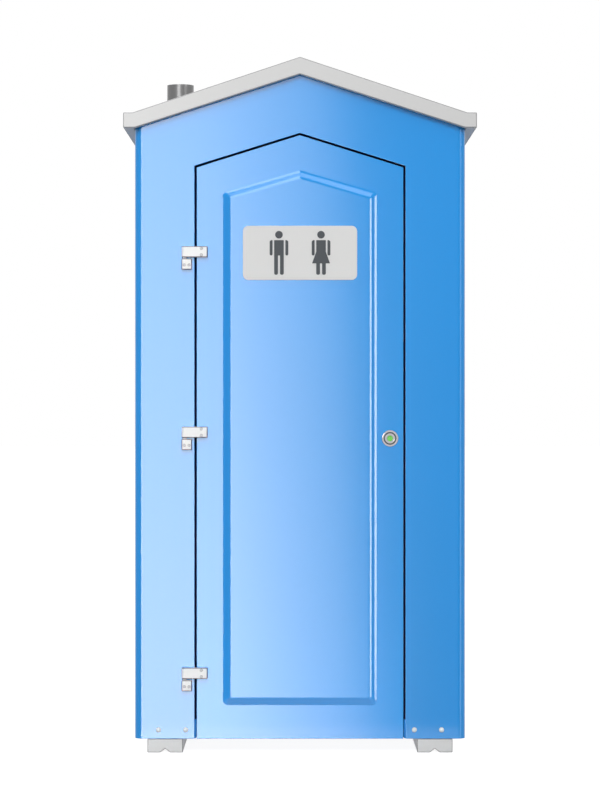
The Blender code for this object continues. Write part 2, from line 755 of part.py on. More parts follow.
def roof_outline(inset):
    """The roof's front outline, drawn in by an inset."""
    side = ROOF_WIDTH / 2
    top_bend, under_bend = side - EAVE_TOP_FLANGE, side - EAVE_UNDER_FLANGE
    underside = RIDGE_HEIGHT - RIDGE_FASCIA
    eave_top = RIDGE_HEIGHT - ROOF_SLOPE_SHARE * top_bend - inset
    eave_base = underside - SOFFIT_SLOPE_SHARE * under_bend + inset
    edge = side - inset
    right = [
        (under_bend, eave_base),
        (edge, eave_base),
        (edge, eave_top),
        (top_bend, eave_top),
    ]
    left = [(-across, up) for across, up in reversed(right)]
    ridge_base = (0, underside + inset * SOFFIT_SLANT)
    ridge_top = (0, RIDGE_HEIGHT - inset * ROOF_SLANT)
    return [ridge_base, *right, ridge_top, *left]


def make_roof():
    half = ROOF_DEPTH / 2
    roof = plate("roof", [roof_outline(0)], "front", -half, half, "pale")
    inner = half - ROOF_SHEET
    cut(roof, plate("roof_hollow", [roof_outline(ROOF_SHEET)], "front", -inner, inner))
    side = HALF_WIDTH + SOFFIT_CLEARANCE
    reach = FRONT_FACE + SOFFIT_CLEARANCE
    through = RIDGE_HEIGHT - RIDGE_FASCIA + 2 * ROOF_SHEET * SOFFIT_SLANT
    base = through - SOFFIT_SLOPE_SHARE * side - RIDGE_FASCIA
    opening = gable(side, through, SOFFIT_SLOPE_SHARE, base)
    cut(roof, plate("roof_opening", [opening], "front", -reach, reach))
    radius = PIPE_RADIUS + PIPE_CLEARANCE
    low = RIDGE_HEIGHT - RIDGE_FASCIA - ROOF_SLOPE_SHARE * HALF_WIDTH
    cut(roof, rod("roof_pipe_hole", radius, "up", (PIPE_X, PIPE_Y), low, PIPE_TOP))


def make_door_frame():
    base = PAN_TOP + TOUCH
    lip = door_outline(LIP_COVER, base)
    outer = door_outline(-DOOR_GAP - FRAME_FLANGE, base)
    arch = [outer[0], lip[0], lip[4], lip[3], lip[2], lip[1], outer[1], outer[2], outer[3], outer[4]]
    front = FRONT_INNER - TOUCH
    frame = plate("door_frame", [arch], "front", LIP_BACK, front, "dark")
    way = door_outline(-DOOR_GAP, base - OVERRUN)
    cut(frame, plate("frame_doorway", [way], "front", LIP_FRONT, front + OVERRUN))
    jamb = door_outline(-DOOR_GAP - FRAME_SHEET, base - OVERRUN)
    beyond = door_outline(-DOOR_GAP - FRAME_FLANGE - OVERRUN, base - OVERRUN)
    side = [beyond[0], jamb[0], jamb[4], jamb[3], jamb[2], jamb[1], *beyond[1:]]
    low = LIP_BACK - OVERRUN
    cut(frame, plate("frame_behind_flange", [side], "front", low, front - FRAME_SHEET))
    for k, centre in enumerate(block_screw_places()):
        bore(frame, f"frame_hole_{k}", centre, low, front + OVERRUN)


def panel_outline(inset):
    """The rim of the door's raised panel for an inset."""
    slant = math.hypot(1, PANEL_SLOPE_SHARE)
    half = PANEL_WIDTH / 2 - inset
    corners = gable(half, PANEL_APEX - inset * slant, PANEL_SLOPE_SHARE, PANEL_BASE + inset)
    radius = PANEL_FOOT_RADIUS + (PANEL_CREST_RADIUS - PANEL_FOOT_RADIUS) * inset / PANEL_STEP
    return rounded(corners, [radius] * len(corners))


def make_door_skins(door):
    low = FRONT_FACE - DOOR_SHEET
    ring = door_outline(0, CABIN_BASE)
    outer = plate("door_outer_skin", [ring], "front", low, FRONT_FACE, "blue", door)
    emboss(outer, panel_outline, "front", FRONT_FACE, DOOR_SHEET, PANEL_RISE, PANEL_STEP)
    back, front = low - OVERRUN, FRONT_FACE + OVERRUN
    barrel = BARREL_SHANK_RADIUS + TOUCH
    cut(outer, rod("skin_barrel_hole", barrel, "front", (LOCK_X, LOCK_HEIGHT), back, front))
    for k, centre in enumerate(strap_screw_places()):
        bore(outer, f"skin_hole_{k}", centre, back, front)
    inner = plate("door_inner_skin", [ring], "front", DOOR_BACK, low - TOUCH, "blue", door)
    hollow = door_outline(DOOR_SHEET, CABIN_BASE + DOOR_SHEET)
    cut(inner, plate("inner_skin_hollow", [hollow], "front", DOOR_BACK + DOOR_SHEET, front))
    left = LOCK_X - CRANK_SIDE - BOLT_TRAVEL - 2 * INDICATOR_MARGIN
    right = left + ARM_SHEET + BOLT_TRAVEL + 2 * INDICATOR_MARGIN
    half = INDICATOR_HEIGHT / 2 + INDICATOR_MARGIN
    slot = rectangle(left, right, LOCK_HEIGHT - half, LOCK_HEIGHT + half)
    through = (DOOR_BACK - OVERRUN, DOOR_BACK + DOOR_SHEET + OVERRUN)
    cut(inner, plate("inner_skin_slot", [slot], "front", *through))


def strap_screw_places():
    across = STRAP_LENGTH - HINGE_LEFT - STRAP_SCREW_INSET
    offset = STRAP_SCREW_SPACING / 2
    return [(across, height + rise) for height in HINGE_HEIGHTS.values() for rise in (-offset, offset)]


def block_centre(height):
    return height - STRAP_HEIGHT / 2 - WASHER_GAP - BLOCK_HEIGHT / 2


def block_screw_places():
    middle = BLOCK_WIDTH / 2 - HINGE_LEFT
    offset = BLOCK_SCREW_SPACING / 2
    heights = [block_centre(height) - BLOCK_SCREW_DROP for height in HINGE_HEIGHTS.values()]
    return [(middle + shift, height) for height in heights for shift in (-offset, offset)]


def make_screw_pair(name, places, face, back, axis):
    """Two domed screws from a front face into one nut plate that lies behind a back face."""
    left, right = min(p[0] for p in places), max(p[0] for p in places)
    base, top = min(p[1] for p in places), max(p[1] for p in places)
    margin = NUT_PLATE_MARGIN
    outline = rectangle(left - margin, right + margin, base - margin, top + margin)
    pair = plate(name, [outline], "front", back - NUT_PLATE, back, "steel", axis)
    for k, centre in enumerate(places):
        head = face + TOUCH
        profile = [
            (0, head + SCREW_HEAD_HEIGHT),
            (SCREW_HEAD_RADIUS * 0.6, head + SCREW_HEAD_HEIGHT * 0.8),
            (SCREW_HEAD_RADIUS, head),
            (SCREW_RADIUS, head),
            (SCREW_RADIUS, back - NUT_PLATE / 2),
            (0, back - NUT_PLATE / 2),
        ]
        fuse(pair, turned(f"{name}_{k}", profile, "front", centre, steps=SCREW_STEPS))


def make_hinge(name, height, door):
    axis_place = (HINGE_AXIS_X, -HINGE_AXIS_OUT)
    radius = HINGE_KNUCKLE_RADIUS
    front, wall = -HINGE_FRONT, -FRONT_FACE - TOUCH
    corners = rectangle(-HINGE_LEFT, STRAP_LENGTH - HINGE_LEFT, front, wall)
    outline = rounded(corners, [radius * 0.999, 0, 0, radius * 0.999])
    room = PIN_RADIUS + TOUCH
    hole = ellipse(axis_place, room, room, PIN_STEPS)
    base, top = height - STRAP_HEIGHT / 2, height + STRAP_HEIGHT / 2
    strap = plate(f"{name}_hinge_strap", [outline, hole], "up", base, top, "white", door)
    low, high = FRONT_FACE - OVERRUN, HINGE_FRONT + OVERRUN
    strap_screws = [place for place in strap_screw_places() if base < place[1] < top]
    for k, centre in enumerate(strap_screws):
        bore(strap, f"{name}_strap_bore_{k}", centre, low, high)
    behind = FRONT_FACE - DOOR_SHEET - TOUCH
    make_screw_pair(f"{name}_strap_screws", strap_screws, HINGE_FRONT, behind, door)
    block_top = base - WASHER_GAP
    block_base = block_top - BLOCK_HEIGHT
    corners = rectangle(-HINGE_LEFT, BLOCK_WIDTH - HINGE_LEFT, front, wall)
    hinge_block = plate(f"{name}_hinge_block", [corners], "up", block_base, block_top, "white")
    pin_base = block_top - PIN_DEPTH_IN_BLOCK
    well = rod(f"{name}_pin_bore", room, "up", axis_place, pin_base - TOUCH, base, steps=PIN_STEPS)
    cut(hinge_block, well)
    block_screws = [place for place in block_screw_places() if block_base < place[1] < block_top]
    for k, centre in enumerate(block_screws):
        bore(hinge_block, f"{name}_block_bore_{k}", centre, low, high)
    behind = FRONT_INNER - TOUCH - FRAME_SHEET - TOUCH
    make_screw_pair(f"{name}_block_screws", block_screws, HINGE_FRONT, behind, None)
    profile = [
        (0, top - TOUCH),
        (PIN_RADIUS, top - TOUCH),
        (PIN_RADIUS, base - TOUCH),
        (WASHER_RADIUS, base - TOUCH),
        (WASHER_RADIUS, block_top + TOUCH),
        (PIN_RADIUS, block_top + TOUCH),
        (PIN_RADIUS, pin_base),
        (0, pin_base),
    ]
    turned(f"{name}_hinge_pin", profile, "up", axis_place, "chrome", steps=PIN_STEPS)


def make_rivets():
    face = FRONT_FACE + TOUCH
    profile = [
        (0, face + RIVET_HEAD_HEIGHT),
        (RIVET_HEAD_RADIUS * 0.6, face + RIVET_HEAD_HEIGHT * 0.8),
        (RIVET_HEAD_RADIUS, face),
        (RIVET_RADIUS, face),
        (RIVET_RADIUS, FRONT_FACE - RIVET_LENGTH),
        (0, FRONT_FACE - RIVET_LENGTH),
    ]
    for name, across in RIVET_PLACES.items():
        place = (across, RIVET_HEIGHT)
        turned(f"front_rivet_{name}", profile, "front", place, "white", steps=PIN_STEPS)


def make_sign(door):
    face = PANEL_FACE + TOUCH
    half_width, half_height = SIGN_WIDTH / 2, SIGN_HEIGHT / 2
    corners = rectangle(-half_width, half_width, SIGN_CENTRE - half_height, SIGN_CENTRE + half_height)
    ring = rounded(corners, [SIGN_RADIUS] * len(corners))
    plate("sign_plate", [ring], "front", face, face + SIGN_SHEET, "pale", door)
    low = face + SIGN_SHEET + TOUCH
    high = low + FIGURE_SHEET
    for name, middle, half in (
        ("man", -FIGURE_SPACING / 2, man_half_outline()),
        ("woman", FIGURE_SPACING / 2, woman_half_outline()),
    ):
        right = [(middle + across, up) for across, up in half]
        left = [(middle - across, up) for across, up in reversed(half)]
        plate(f"{name}_body", [right + left], "front", low, high, "figure", door)
        rod(f"{name}_head", HEAD_RADIUS, "front", (middle, HEAD_CENTRE), low, high, "figure", door)


def arm_outline(arm_end):
    """The shoulder and arm of a figure's right half, from the neck round to the armpit."""
    inner = ARM_OUTER - ARM_WIDTH
    corners = [(0, SHOULDER), (ARM_OUTER, SHOULDER), (ARM_OUTER, arm_end), (inner, arm_end), (inner, ARMPIT)]
    end = ARM_WIDTH / 2.1
    return rounded(corners, [0, SHOULDER_RADIUS, end, end, 0])[1:]


def man_half_outline():
    trunk = [(TORSO_HALF, ARMPIT), (TORSO_HALF, FIGURE_FOOT), (LEG_INNER, FIGURE_FOOT), (LEG_INNER, CROTCH)]
    return arm_outline(ARM_END) + trunk


def woman_half_outline():
    trunk = [
        (WOMAN_TORSO_HALF, ARMPIT),
        (WOMAN_TORSO_HALF, WAIST),
        (SKIRT_HALF, SKIRT_HEM),
        (WOMAN_LEG_OUTER, SKIRT_HEM),
        (WOMAN_LEG_OUTER, FIGURE_FOOT),
        (WOMAN_LEG_INNER, FIGURE_FOOT),
        (WOMAN_LEG_INNER, SKIRT_HEM),
    ]
    return arm_outline(WOMAN_ARM_END) + trunk


def make_lock_front(door):
    """The rose, the barrel with its dished face, and the window behind its lip."""
    place = (LOCK_X, LOCK_HEIGHT)
    face = FRONT_FACE + TOUCH
    width = ROSE_RADIUS - ROSE_INNER_RADIUS
    rose_top = face + ROSE_HEIGHT
    rose = [
        (ROSE_INNER_RADIUS, rose_top - ROSE_HEIGHT * 0.4),
        (ROSE_INNER_RADIUS + width * 0.2, rose_top - ROSE_HEIGHT * 0.1),
        (ROSE_INNER_RADIUS + width * 0.5, rose_top),
        (ROSE_RADIUS - width * 0.15, rose_top - ROSE_HEIGHT * 0.25),
        (ROSE_RADIUS, rose_top - ROSE_HEIGHT * 0.7),
        (ROSE_RADIUS, face),
        (ROSE_INNER_RADIUS, face),
    ]
    turned("lock_rose", rose, "front", place, "chrome", door, ring=True)
    barrel_top = face + BARREL_HEIGHT
    barrel_back = face - BARREL_SHANK_LENGTH
    dish = barrel_top - DISH_DEPTH
    seat = dish - WINDOW_LEDGE
    seat_radius = WINDOW_RADIUS + WINDOW_LEDGE
    barrel = [
        (WINDOW_RADIUS, dish),
        (BARREL_RADIUS * 0.8, barrel_top - DISH_DEPTH * 0.2),
        (BARREL_RADIUS * 0.9, barrel_top),
        (BARREL_RADIUS, barrel_top - BARREL_HEIGHT * 0.2),
        (BARREL_RADIUS, face),
        (BARREL_SHANK_RADIUS, face),
        (BARREL_SHANK_RADIUS, barrel_back),
        (seat_radius, barrel_back),
        (seat_radius, seat),
        (WINDOW_RADIUS, seat),
    ]
    turned("lock_barrel", barrel, "front", place, "chrome", door, ring=True)
    front = seat - TOUCH
    window = seat_radius - TOUCH
    rod("lock_window", window, "front", place, front - WINDOW_SHEET, front, "clear", door)


def make_lock_case(door):
    left, right = LOCK_X - CASE_LEFT, LOCK_X + CASE_RIGHT
    base, top = LOCK_HEIGHT - CASE_HEIGHT / 2, LOCK_HEIGHT + CASE_HEIGHT / 2
    back = DOOR_BACK - TOUCH
    case = plate("lock_case", [rectangle(left, right, base, top)], "front", CASE_COVER, back, "dark", door)
    sheet = CASE_SHEET
    hollow = rectangle(left + sheet, right - sheet, base + sheet, top - sheet)
    cut(case, plate("case_hollow", [hollow], "front", CASE_COVER + sheet, back + OVERRUN))
    nose = BOLT_NOSE_HEIGHT / 2 + BOLT_CLEARANCE
    slot = rectangle(right - sheet - OVERRUN, right + OVERRUN, LOCK_HEIGHT - nose, LOCK_HEIGHT + nose)
    low, high = BOLT_BACK - BOLT_CLEARANCE, BOLT_FRONT + BOLT_CLEARANCE
    cut(case, plate("case_bolt_slot", [slot], "front", low, high))
    radius = TURN_SHAFT_RADIUS + TOUCH
    low, high = CASE_COVER - OVERRUN, CASE_COVER + sheet + OVERRUN
    cut(case, rod("case_shaft_hole", radius, "front", (LOCK_X, LOCK_HEIGHT), low, high))


def make_bolt(slide):
    """The sliding bolt with the crank's slot, and the two-colour plate that it carries."""
    slot_middle = LOCK_X - CRANK_SIDE
    left = slot_middle - BOLT_TRAVEL - INDICATOR_MARGIN / 2
    right = LOCK_X + BOLT_BODY_RIGHT
    tip = LOCK_X + CASE_RIGHT + BOLT_NOSE_PROUD
    nose_base, nose_top = LOCK_HEIGHT - BOLT_NOSE_HEIGHT / 2, LOCK_HEIGHT + BOLT_NOSE_HEIGHT / 2
    base, top = LOCK_HEIGHT - BOLT_BODY_BASE, LOCK_HEIGHT + BOLT_BODY_TOP
    outline = [
        (left, base),
        (right, base),
        (right, nose_base),
        (tip, nose_base),
        (tip, nose_top),
        (right, nose_top),
        (right, top),
        (left, top),
    ]
    room = CRANK_PIN_RADIUS + CRANK_SLOT_CLEARANCE
    lowest, highest = LOCK_HEIGHT + CRANK_SIDE - room, LOCK_HEIGHT + CRANK_RADIUS + room
    slot = rectangle(slot_middle - room, slot_middle + room, lowest, highest)
    plate("lock_bolt", [outline, slot], "front", BOLT_BACK, BOLT_FRONT, "steel", slide)
    front = -(FRONT_FACE + TOUCH - BARREL_SHANK_LENGTH - INDICATOR_BEHIND_BARREL)
    behind = front + INDICATOR_SHEET
    arm_end = -BOLT_FRONT - TOUCH
    edge = LOCK_X + CRANK_SIDE
    angle = [
        (left, front),
        (edge, front),
        (edge, behind),
        (left + ARM_SHEET, behind),
        (left + ARM_SHEET, arm_end),
        (left, arm_end),
    ]
    half = INDICATOR_HEIGHT / 2
    low, high = LOCK_HEIGHT - half, LOCK_HEIGHT + half
    plate("indicator_plate", [angle], "up", low, high, "green", slide)


def make_thumb_turn(turn):
    """The inside lever, its shaft through the case, and the crank with the pin that drives the bolt."""
    place = (LOCK_X, LOCK_HEIGHT)
    outside = CASE_COVER - TOUCH
    boss = outside - TURN_BOSS_LENGTH
    half_width, half_length = TURN_LEVER_WIDTH / 2, TURN_LEVER_LENGTH / 2
    corners = rectangle(
        LOCK_X - half_width, LOCK_X + half_width, LOCK_HEIGHT - half_length, LOCK_HEIGHT + half_length
    )
    lever = rounded(corners, [half_width * 0.9] * len(corners))
    overlap = TURN_BOSS_LENGTH / 2
    item = plate("thumb_turn", [lever], "front", boss - TURN_LEVER_SHEET, boss + overlap, "dark", turn)
    fuse(item, rod("turn_boss", TURN_BOSS_RADIUS, "front", place, boss, outside))
    disc_front = BOLT_BACK - BOLT_CLEARANCE
    disc_back = disc_front - CRANK_DISC_SHEET
    fuse(item, rod("turn_shaft", TURN_SHAFT_RADIUS, "front", place, boss + overlap, disc_front - TOUCH))
    fuse(item, rod("turn_disc", CRANK_DISC_RADIUS, "front", place, disc_back, disc_front))
    pin = (LOCK_X - CRANK_SIDE, LOCK_HEIGHT + CRANK_SIDE)
    pin_front = BOLT_FRONT - CRANK_PIN_RADIUS
    pin_back = disc_back + CRANK_DISC_SHEET / 2
    fuse(item, rod("turn_pin", CRANK_PIN_RADIUS, "front", pin, pin_back, pin_front, steps=SCREW_STEPS))


def make_keeper():
    """The wear plate that the bolt slides behind, on the back of the frame's lip."""
    lip_edge = DOOR_WIDTH / 2 - LIP_COVER
    frame_edge = DOORWAY_HALF + FRAME_SHEET
    half = KEEPER_HEIGHT / 2
    outline = rectangle(lip_edge, frame_edge, LOCK_HEIGHT - half, LOCK_HEIGHT + half)
    high = LIP_BACK - TOUCH
    plate("lock_keeper", [outline], "front", high - KEEPER_SHEET, high, "steel")


def bent_path(corners, radius):
    """A path of points through these corners, with each inner one rounded."""
    path = [Vector(corners[0])]
    for before, corner, after in zip(corners, corners[1:], corners[2:]):
        corner = Vector(corner)
        start = corner + (Vector(before) - corner).normalized() * radius
        end = corner + (Vector(after) - corner).normalized() * radius
        for step in range(CORNER_STEPS + 1):
            along = step / CORNER_STEPS
            path.append(start.lerp(corner, along).lerp(corner.lerp(end, along), along))
    return path + [Vector(corners[-1])]


def make_door_pull(door):
    back = TOUCH - DOOR_BACK
    half = PULL_LENGTH / 2
    corners = [
        (PULL_X, back, LOCK_HEIGHT - half),
        (PULL_X, back + PULL_REACH, LOCK_HEIGHT - half),
        (PULL_X, back + PULL_REACH, LOCK_HEIGHT + half),
        (PULL_X, back, LOCK_HEIGHT + half),
    ]
    tube("door_pull", bent_path(corners, PULL_BEND), PULL_RADIUS, "dark", door)


def make_coat_hook():
    wall = TOUCH - SIDE_INNER
    half_width, half_height = HOOK_PLATE_WIDTH / 2, HOOK_PLATE_HEIGHT / 2
    low = (wall, HOOK_Y - half_width, HOOK_HEIGHT - half_height)
    high = (wall + HOOK_PLATE_SHEET, HOOK_Y + half_width, HOOK_HEIGHT + half_height)
    item = block("coat_hook", low, high, "dark")
    base = HOOK_HEIGHT - half_height + HOOK_PLATE_WIDTH / 2
    corners = [
        (wall + HOOK_PLATE_SHEET / 2, HOOK_Y, base),
        (wall + HOOK_REACH, HOOK_Y, base),
        (wall + HOOK_REACH, HOOK_Y, base + HOOK_RISE),
    ]
    fuse(item, tube("hook_arm", bent_path(corners, HOOK_RISE / 2), HOOK_RADIUS))


def tank_outline(inset):
    """The tank's side outline, drawn in by an inset."""
    base = PAN_TOP + TOUCH + inset
    corners = [
        (TANK_FRONT + TANK_TOE + inset, base),
        (TANK_BACK - inset, base),
        (TANK_BACK - inset, DECK_HEIGHT - inset),
        (TANK_FRONT + inset, DECK_HEIGHT - inset),
    ]
    return rounded(corners, [0, 0, 0, TANK_EDGE_RADIUS - inset])


def make_tank():
    half = SIDE_INNER - TOUCH
    tank = plate("waste_tank", [tank_outline(0)], "right", -half, half, "dark")
    inner = half - TANK_SHEET
    cut(tank, plate("tank_hollow", [tank_outline(TANK_SHEET)], "right", -inner, inner))
    low, high = DECK_HEIGHT - TANK_SHEET - OVERRUN, DECK_HEIGHT + OVERRUN
    drop = ellipse((0, DROP_CENTRE), DROP_HALF_WIDTH, DROP_HALF_LENGTH)
    cut(tank, plate("tank_drop", [drop], "up", low, high))
    radius = PIPE_RADIUS + PIPE_CLEARANCE
    cut(tank, rod("tank_pipe_hole", radius, "up", (PIPE_X, PIPE_Y), low, high))


def lug_outline(reach, base, top, turn_range):
    """A knuckle about the rod, seen from the side, with an arm that reaches forward."""
    radius = SEAT_KNUCKLE_RADIUS
    start, end = turn_range
    ring = [(SEAT_AXIS_Y - reach, base), (SEAT_AXIS_Y - 1.4 * radius, base)]
    steps = 2 * CORNER_STEPS
    for step in range(steps + 1):
        angle = start + (end - start) * step / steps
        out, up = radius * math.cos(angle), radius * math.sin(angle)
        ring.append((SEAT_AXIS_Y + out, SEAT_AXIS_HEIGHT + up))
    return ring + [(SEAT_AXIS_Y - 1.4 * radius, top), (SEAT_AXIS_Y - reach, top)]


def add_lugs(item, first, outline, axis):
    """A pair of hinge knuckles on the seat or lid, bored for the rod."""
    radius = SEAT_ROD_RADIUS + TOUCH
    hole = ellipse((SEAT_AXIS_Y, SEAT_AXIS_HEIGHT), radius, radius, SCREW_STEPS)
    for side, sign in SIDES.items():
        ends = sorted((sign * first, sign * (first + SEAT_LUG_WIDTH)))
        fuse(item, plate(f"{item.name}_lug_{side}", [outline, hole], "right", *ends, axis=axis))


def make_seat(seat_axis):
    base = DECK_HEIGHT + TOUCH
    outer = ellipse((0, DROP_CENTRE), SEAT_HALF_WIDTH, SEAT_HALF_LENGTH)
    hole = ellipse((0, DROP_CENTRE), SEAT_HOLE_HALF_WIDTH, SEAT_HOLE_HALF_LENGTH)
    seat = plate("seat", [outer, hole], "up", base, SEAT_TOP, "white", seat_axis)
    soften(seat, SEAT_EDGE)
    first = LID_LUG_START + SEAT_LUG_WIDTH + SEAT_LUG_GAP
    low, high = SEAT_TOP - SEAT_SHEET * 0.6, SEAT_TOP - SEAT_SHEET * 0.05
    add_lugs(seat, first, lug_outline(SEAT_LUG_REACH, low, high, SEAT_LUG_TURN), seat_axis)


def make_lid(lid_axis):
    base = SEAT_TOP + LID_ABOVE_SEAT
    half_width, half_length = SEAT_HALF_WIDTH + LID_OVERHANG, SEAT_HALF_LENGTH + LID_OVERHANG
    outline = ellipse((0, DROP_CENTRE), half_width, half_length)
    lid = plate("lid", [outline], "up", base, base + LID_SHEET, "white", lid_axis)
    soften(lid, SEAT_EDGE)
    low, high = base + LID_SHEET * 0.1, base + LID_SHEET * 0.9
    add_lugs(lid, LID_LUG_START, lug_outline(LID_LUG_REACH, low, high, LID_LUG_TURN), lid_axis)


def soften(item, width):
    bevel = item.modifiers.new("edge", "BEVEL")
    bevel.width = width
    bevel.segments = 2
    bevel.limit_method = "ANGLE"
    bevel.angle_limit = math.radians(40)


def make_seat_hinge():
    """The fixed rod that the seat and lid turn on, and its two posts on the deck."""
    first = LID_LUG_START + 2 * (SEAT_LUG_WIDTH + SEAT_LUG_GAP)
    last = first + SEAT_LUG_WIDTH
    centre = (SEAT_AXIS_Y, SEAT_AXIS_HEIGHT)
    for side, sign in SIDES.items():
        ends = sorted((sign * first, sign * last))
        low = (ends[0], SEAT_AXIS_Y - POST_DEPTH / 2, DECK_HEIGHT + TOUCH)
        high = (ends[1], SEAT_AXIS_Y + POST_DEPTH / 2, SEAT_AXIS_HEIGHT + POST_ABOVE_AXIS)
        post = block(f"seat_post_{side}", low, high, "white")
        radius = SEAT_ROD_RADIUS + TOUCH
        low, high = ends[0] - OVERRUN, ends[1] + OVERRUN
        cut(post, rod(f"post_bore_{side}", radius, "right", centre, low, high, steps=PIN_STEPS))
    half = last + ROD_PROUD
    rod("seat_hinge_rod", SEAT_ROD_RADIUS, "right", centre, -half, half, "steel", steps=PIN_STEPS)


def make_vent_pipe():
    inner = PIPE_RADIUS - PIPE_SHEET
    base = DECK_HEIGHT - PIPE_IN_TANK
    profile = [(inner, PIPE_TOP), (PIPE_RADIUS, PIPE_TOP), (PIPE_RADIUS, base), (inner, base)]
    turned("vent_pipe", profile, "up", (PIPE_X, PIPE_Y), "pipe", ring=True)


def make_pipe_boot():
    """The collar round the pipe, with a flange that lies on the roof's slope."""
    inner = PIPE_RADIUS + PIPE_CLEARANCE
    roof_here = RIDGE_HEIGHT + ROOF_SLOPE_SHARE * PIPE_X
    top = roof_here + BOOT_HEIGHT
    drop = ROOF_SLOPE_SHARE * BOOT_FLANGE_RADIUS
    flare = roof_here + drop + BOOT_FLANGE_SHEET
    deep = roof_here - drop - OVERRUN
    profile = [
        (inner, top),
        (BOOT_COLLAR_RADIUS, top),
        (BOOT_COLLAR_RADIUS, deep),
        (inner, deep),
    ]
    boot = turned("pipe_boot", profile, "up", (PIPE_X, PIPE_Y), "pale", ring=True)
    flange = [
        (inner + WELD, flare),
        (BOOT_FLANGE_RADIUS, flare),
        (BOOT_FLANGE_RADIUS, deep + WELD),
        (inner + WELD, deep + WELD),
    ]
    fuse(boot, turned("boot_flange", flange, "up", (PIPE_X, PIPE_Y), ring=True))
    reach = BOOT_FLANGE_RADIUS + OVERRUN
    left, right = PIPE_X - reach, PIPE_X + reach
    lift = TOUCH * ROOF_SLANT
    slope = [(x, RIDGE_HEIGHT + ROOF_SLOPE_SHARE * x + lift) for x in (right, left)]
    under = [(left, deep - OVERRUN), (right, deep - OVERRUN), *slope]
    ends = sorted((-PIPE_Y - reach, -PIPE_Y + reach))
    cut(boot, plate("boot_roof_line", [under], "front", *ends))
    lip = BOOT_FLANGE_SHEET * ROOF_SLANT
    above = [(x, up + lip) for x, up in reversed(slope)]
    sky = [*above, (right, top + reach), (left, top + reach)]
    upper = plate("boot_sky", [sky], "front", *ends)
    keep = rod("boot_keep", BOOT_COLLAR_RADIUS, "up", (PIPE_X, PIPE_Y), deep - OVERRUN, top + 2 * reach)
    cut(upper, keep)
    cut(boot, upper)


def make_pipe_brackets():
    """Each band round the pipe, with an arm to a foot on the left wall."""
    hole = PIPE_RADIUS + TOUCH
    band = hole + BRACKET_BAND
    wall = TOUCH - SIDE_INNER
    for name, height in BRACKET_HEIGHTS.items():
        low, high = height - BRACKET_WIDTH / 2, height + BRACKET_WIDTH / 2
        rings = [ellipse((PIPE_X, PIPE_Y), band, band), ellipse((PIPE_X, PIPE_Y), hole, hole)]
        item = plate(f"{name}_pipe_bracket", rings, "up", low, high, "steel")
        inset = BRACKET_BAND / 3
        arm_low = (wall + inset, PIPE_Y - BRACKET_ARM / 2, low + inset)
        arm_high = (PIPE_X - hole - inset, PIPE_Y + BRACKET_ARM / 2, high - inset)
        foot_low = (wall, PIPE_Y - BRACKET_FOOT / 2, low - inset)
        foot_high = (wall + BRACKET_BAND, PIPE_Y + BRACKET_FOOT / 2, high + inset)
        arm = block(f"{name}_bracket_arm", arm_low, arm_high)
        foot = block(f"{name}_bracket_foot", foot_low, foot_high)
        fuse(item, arm, foot)


def make_paper_holder(roll_axis):
    """A bracket in the recess of the right wall's raised panel, its spindle and the roll."""
    wall = RECESS_FACE - TOUCH
    half = HOLDER_INNER_WIDTH / 2
    outer = half + HOLDER_SHEET
    base, top = PAPER_HEIGHT - HOLDER_HEIGHT / 2, PAPER_HEIGHT + HOLDER_HEIGHT / 2
    holder = block(
        "paper_holder", (wall - HOLDER_REACH, PAPER_Y - outer, base), (wall, PAPER_Y + outer, top), "steel"
    )
    low = (wall - HOLDER_REACH - OVERRUN, PAPER_Y - half, base - OVERRUN)
    high = (wall - HOLDER_SHEET, PAPER_Y + half, top + OVERRUN)
    cut(holder, block("holder_inside", low, high))
    centre = (PAPER_X, PAPER_HEIGHT)
    room = SPINDLE_PIN_RADIUS + TOUCH
    reach = outer + OVERRUN
    ends = (-PAPER_Y - reach, -PAPER_Y + reach)
    cut(holder, rod("holder_bore", room, "front", centre, *ends, steps=PIN_STEPS))
    body = half - SPINDLE_END_GAP
    middle = -PAPER_Y
    profile = [
        (0, middle + outer),
        (SPINDLE_PIN_RADIUS, middle + outer),
        (SPINDLE_PIN_RADIUS, middle + body),
        (SPINDLE_RADIUS, middle + body),
        (SPINDLE_RADIUS, middle - body),
        (SPINDLE_PIN_RADIUS, middle - body),
        (SPINDLE_PIN_RADIUS, middle - outer),
        (0, middle - outer),
    ]
    turned("paper_spindle", profile, "front", centre, "white", steps=PIN_STEPS)
    core = SPINDLE_RADIUS + CORE_CLEARANCE
    side = ROLL_WIDTH / 2
    roll = [
        (core, middle + side),
        (ROLL_RADIUS, middle + side),
        (ROLL_RADIUS, middle - side),
        (core, middle - side),
    ]
    turned("paper_roll", roll, "front", centre, "paper", roll_axis, ring=True)


def make_cabin():
    make_skids()
    make_floor_pan()
    make_front_wall()
    make_back_wall()
    make_side_walls()
    make_roof()
    make_door_frame()
    make_rivets()
    make_keeper()
    make_coat_hook()
    make_vent_pipe()
    make_pipe_boot()
    make_pipe_brackets()


def make_door():
    door = add_axis("door_axis", (HINGE_AXIS_X, -HINGE_AXIS_OUT, CABIN_BASE))
    make_door_skins(door)
    make_sign(door)
    for name, height in HINGE_HEIGHTS.items():
        make_hinge(name, height, door)
    make_lock_front(door)
    make_lock_case(door)
    make_door_pull(door)
    lock = (LOCK_X, -CASE_COVER, LOCK_HEIGHT)
    make_bolt(add_axis("bolt_axis", lock, door))
    make_thumb_turn(add_axis("thumb_turn_axis", lock, door))


def make_toilet():
    make_tank()
    make_seat_hinge()
    hinge = (0, SEAT_AXIS_Y, SEAT_AXIS_HEIGHT)
    make_seat(add_axis("seat_axis", hinge))
    lid_axis = add_axis("lid_axis", hinge)
    make_lid(lid_axis)
    lid_axis.matrix_basis = Matrix.Translation(hinge) @ Matrix.Rotation(-LID_REST_ANGLE, 4, "X")
    make_paper_holder(add_axis("roll_axis", (PAPER_X, PAPER_Y, PAPER_HEIGHT)))


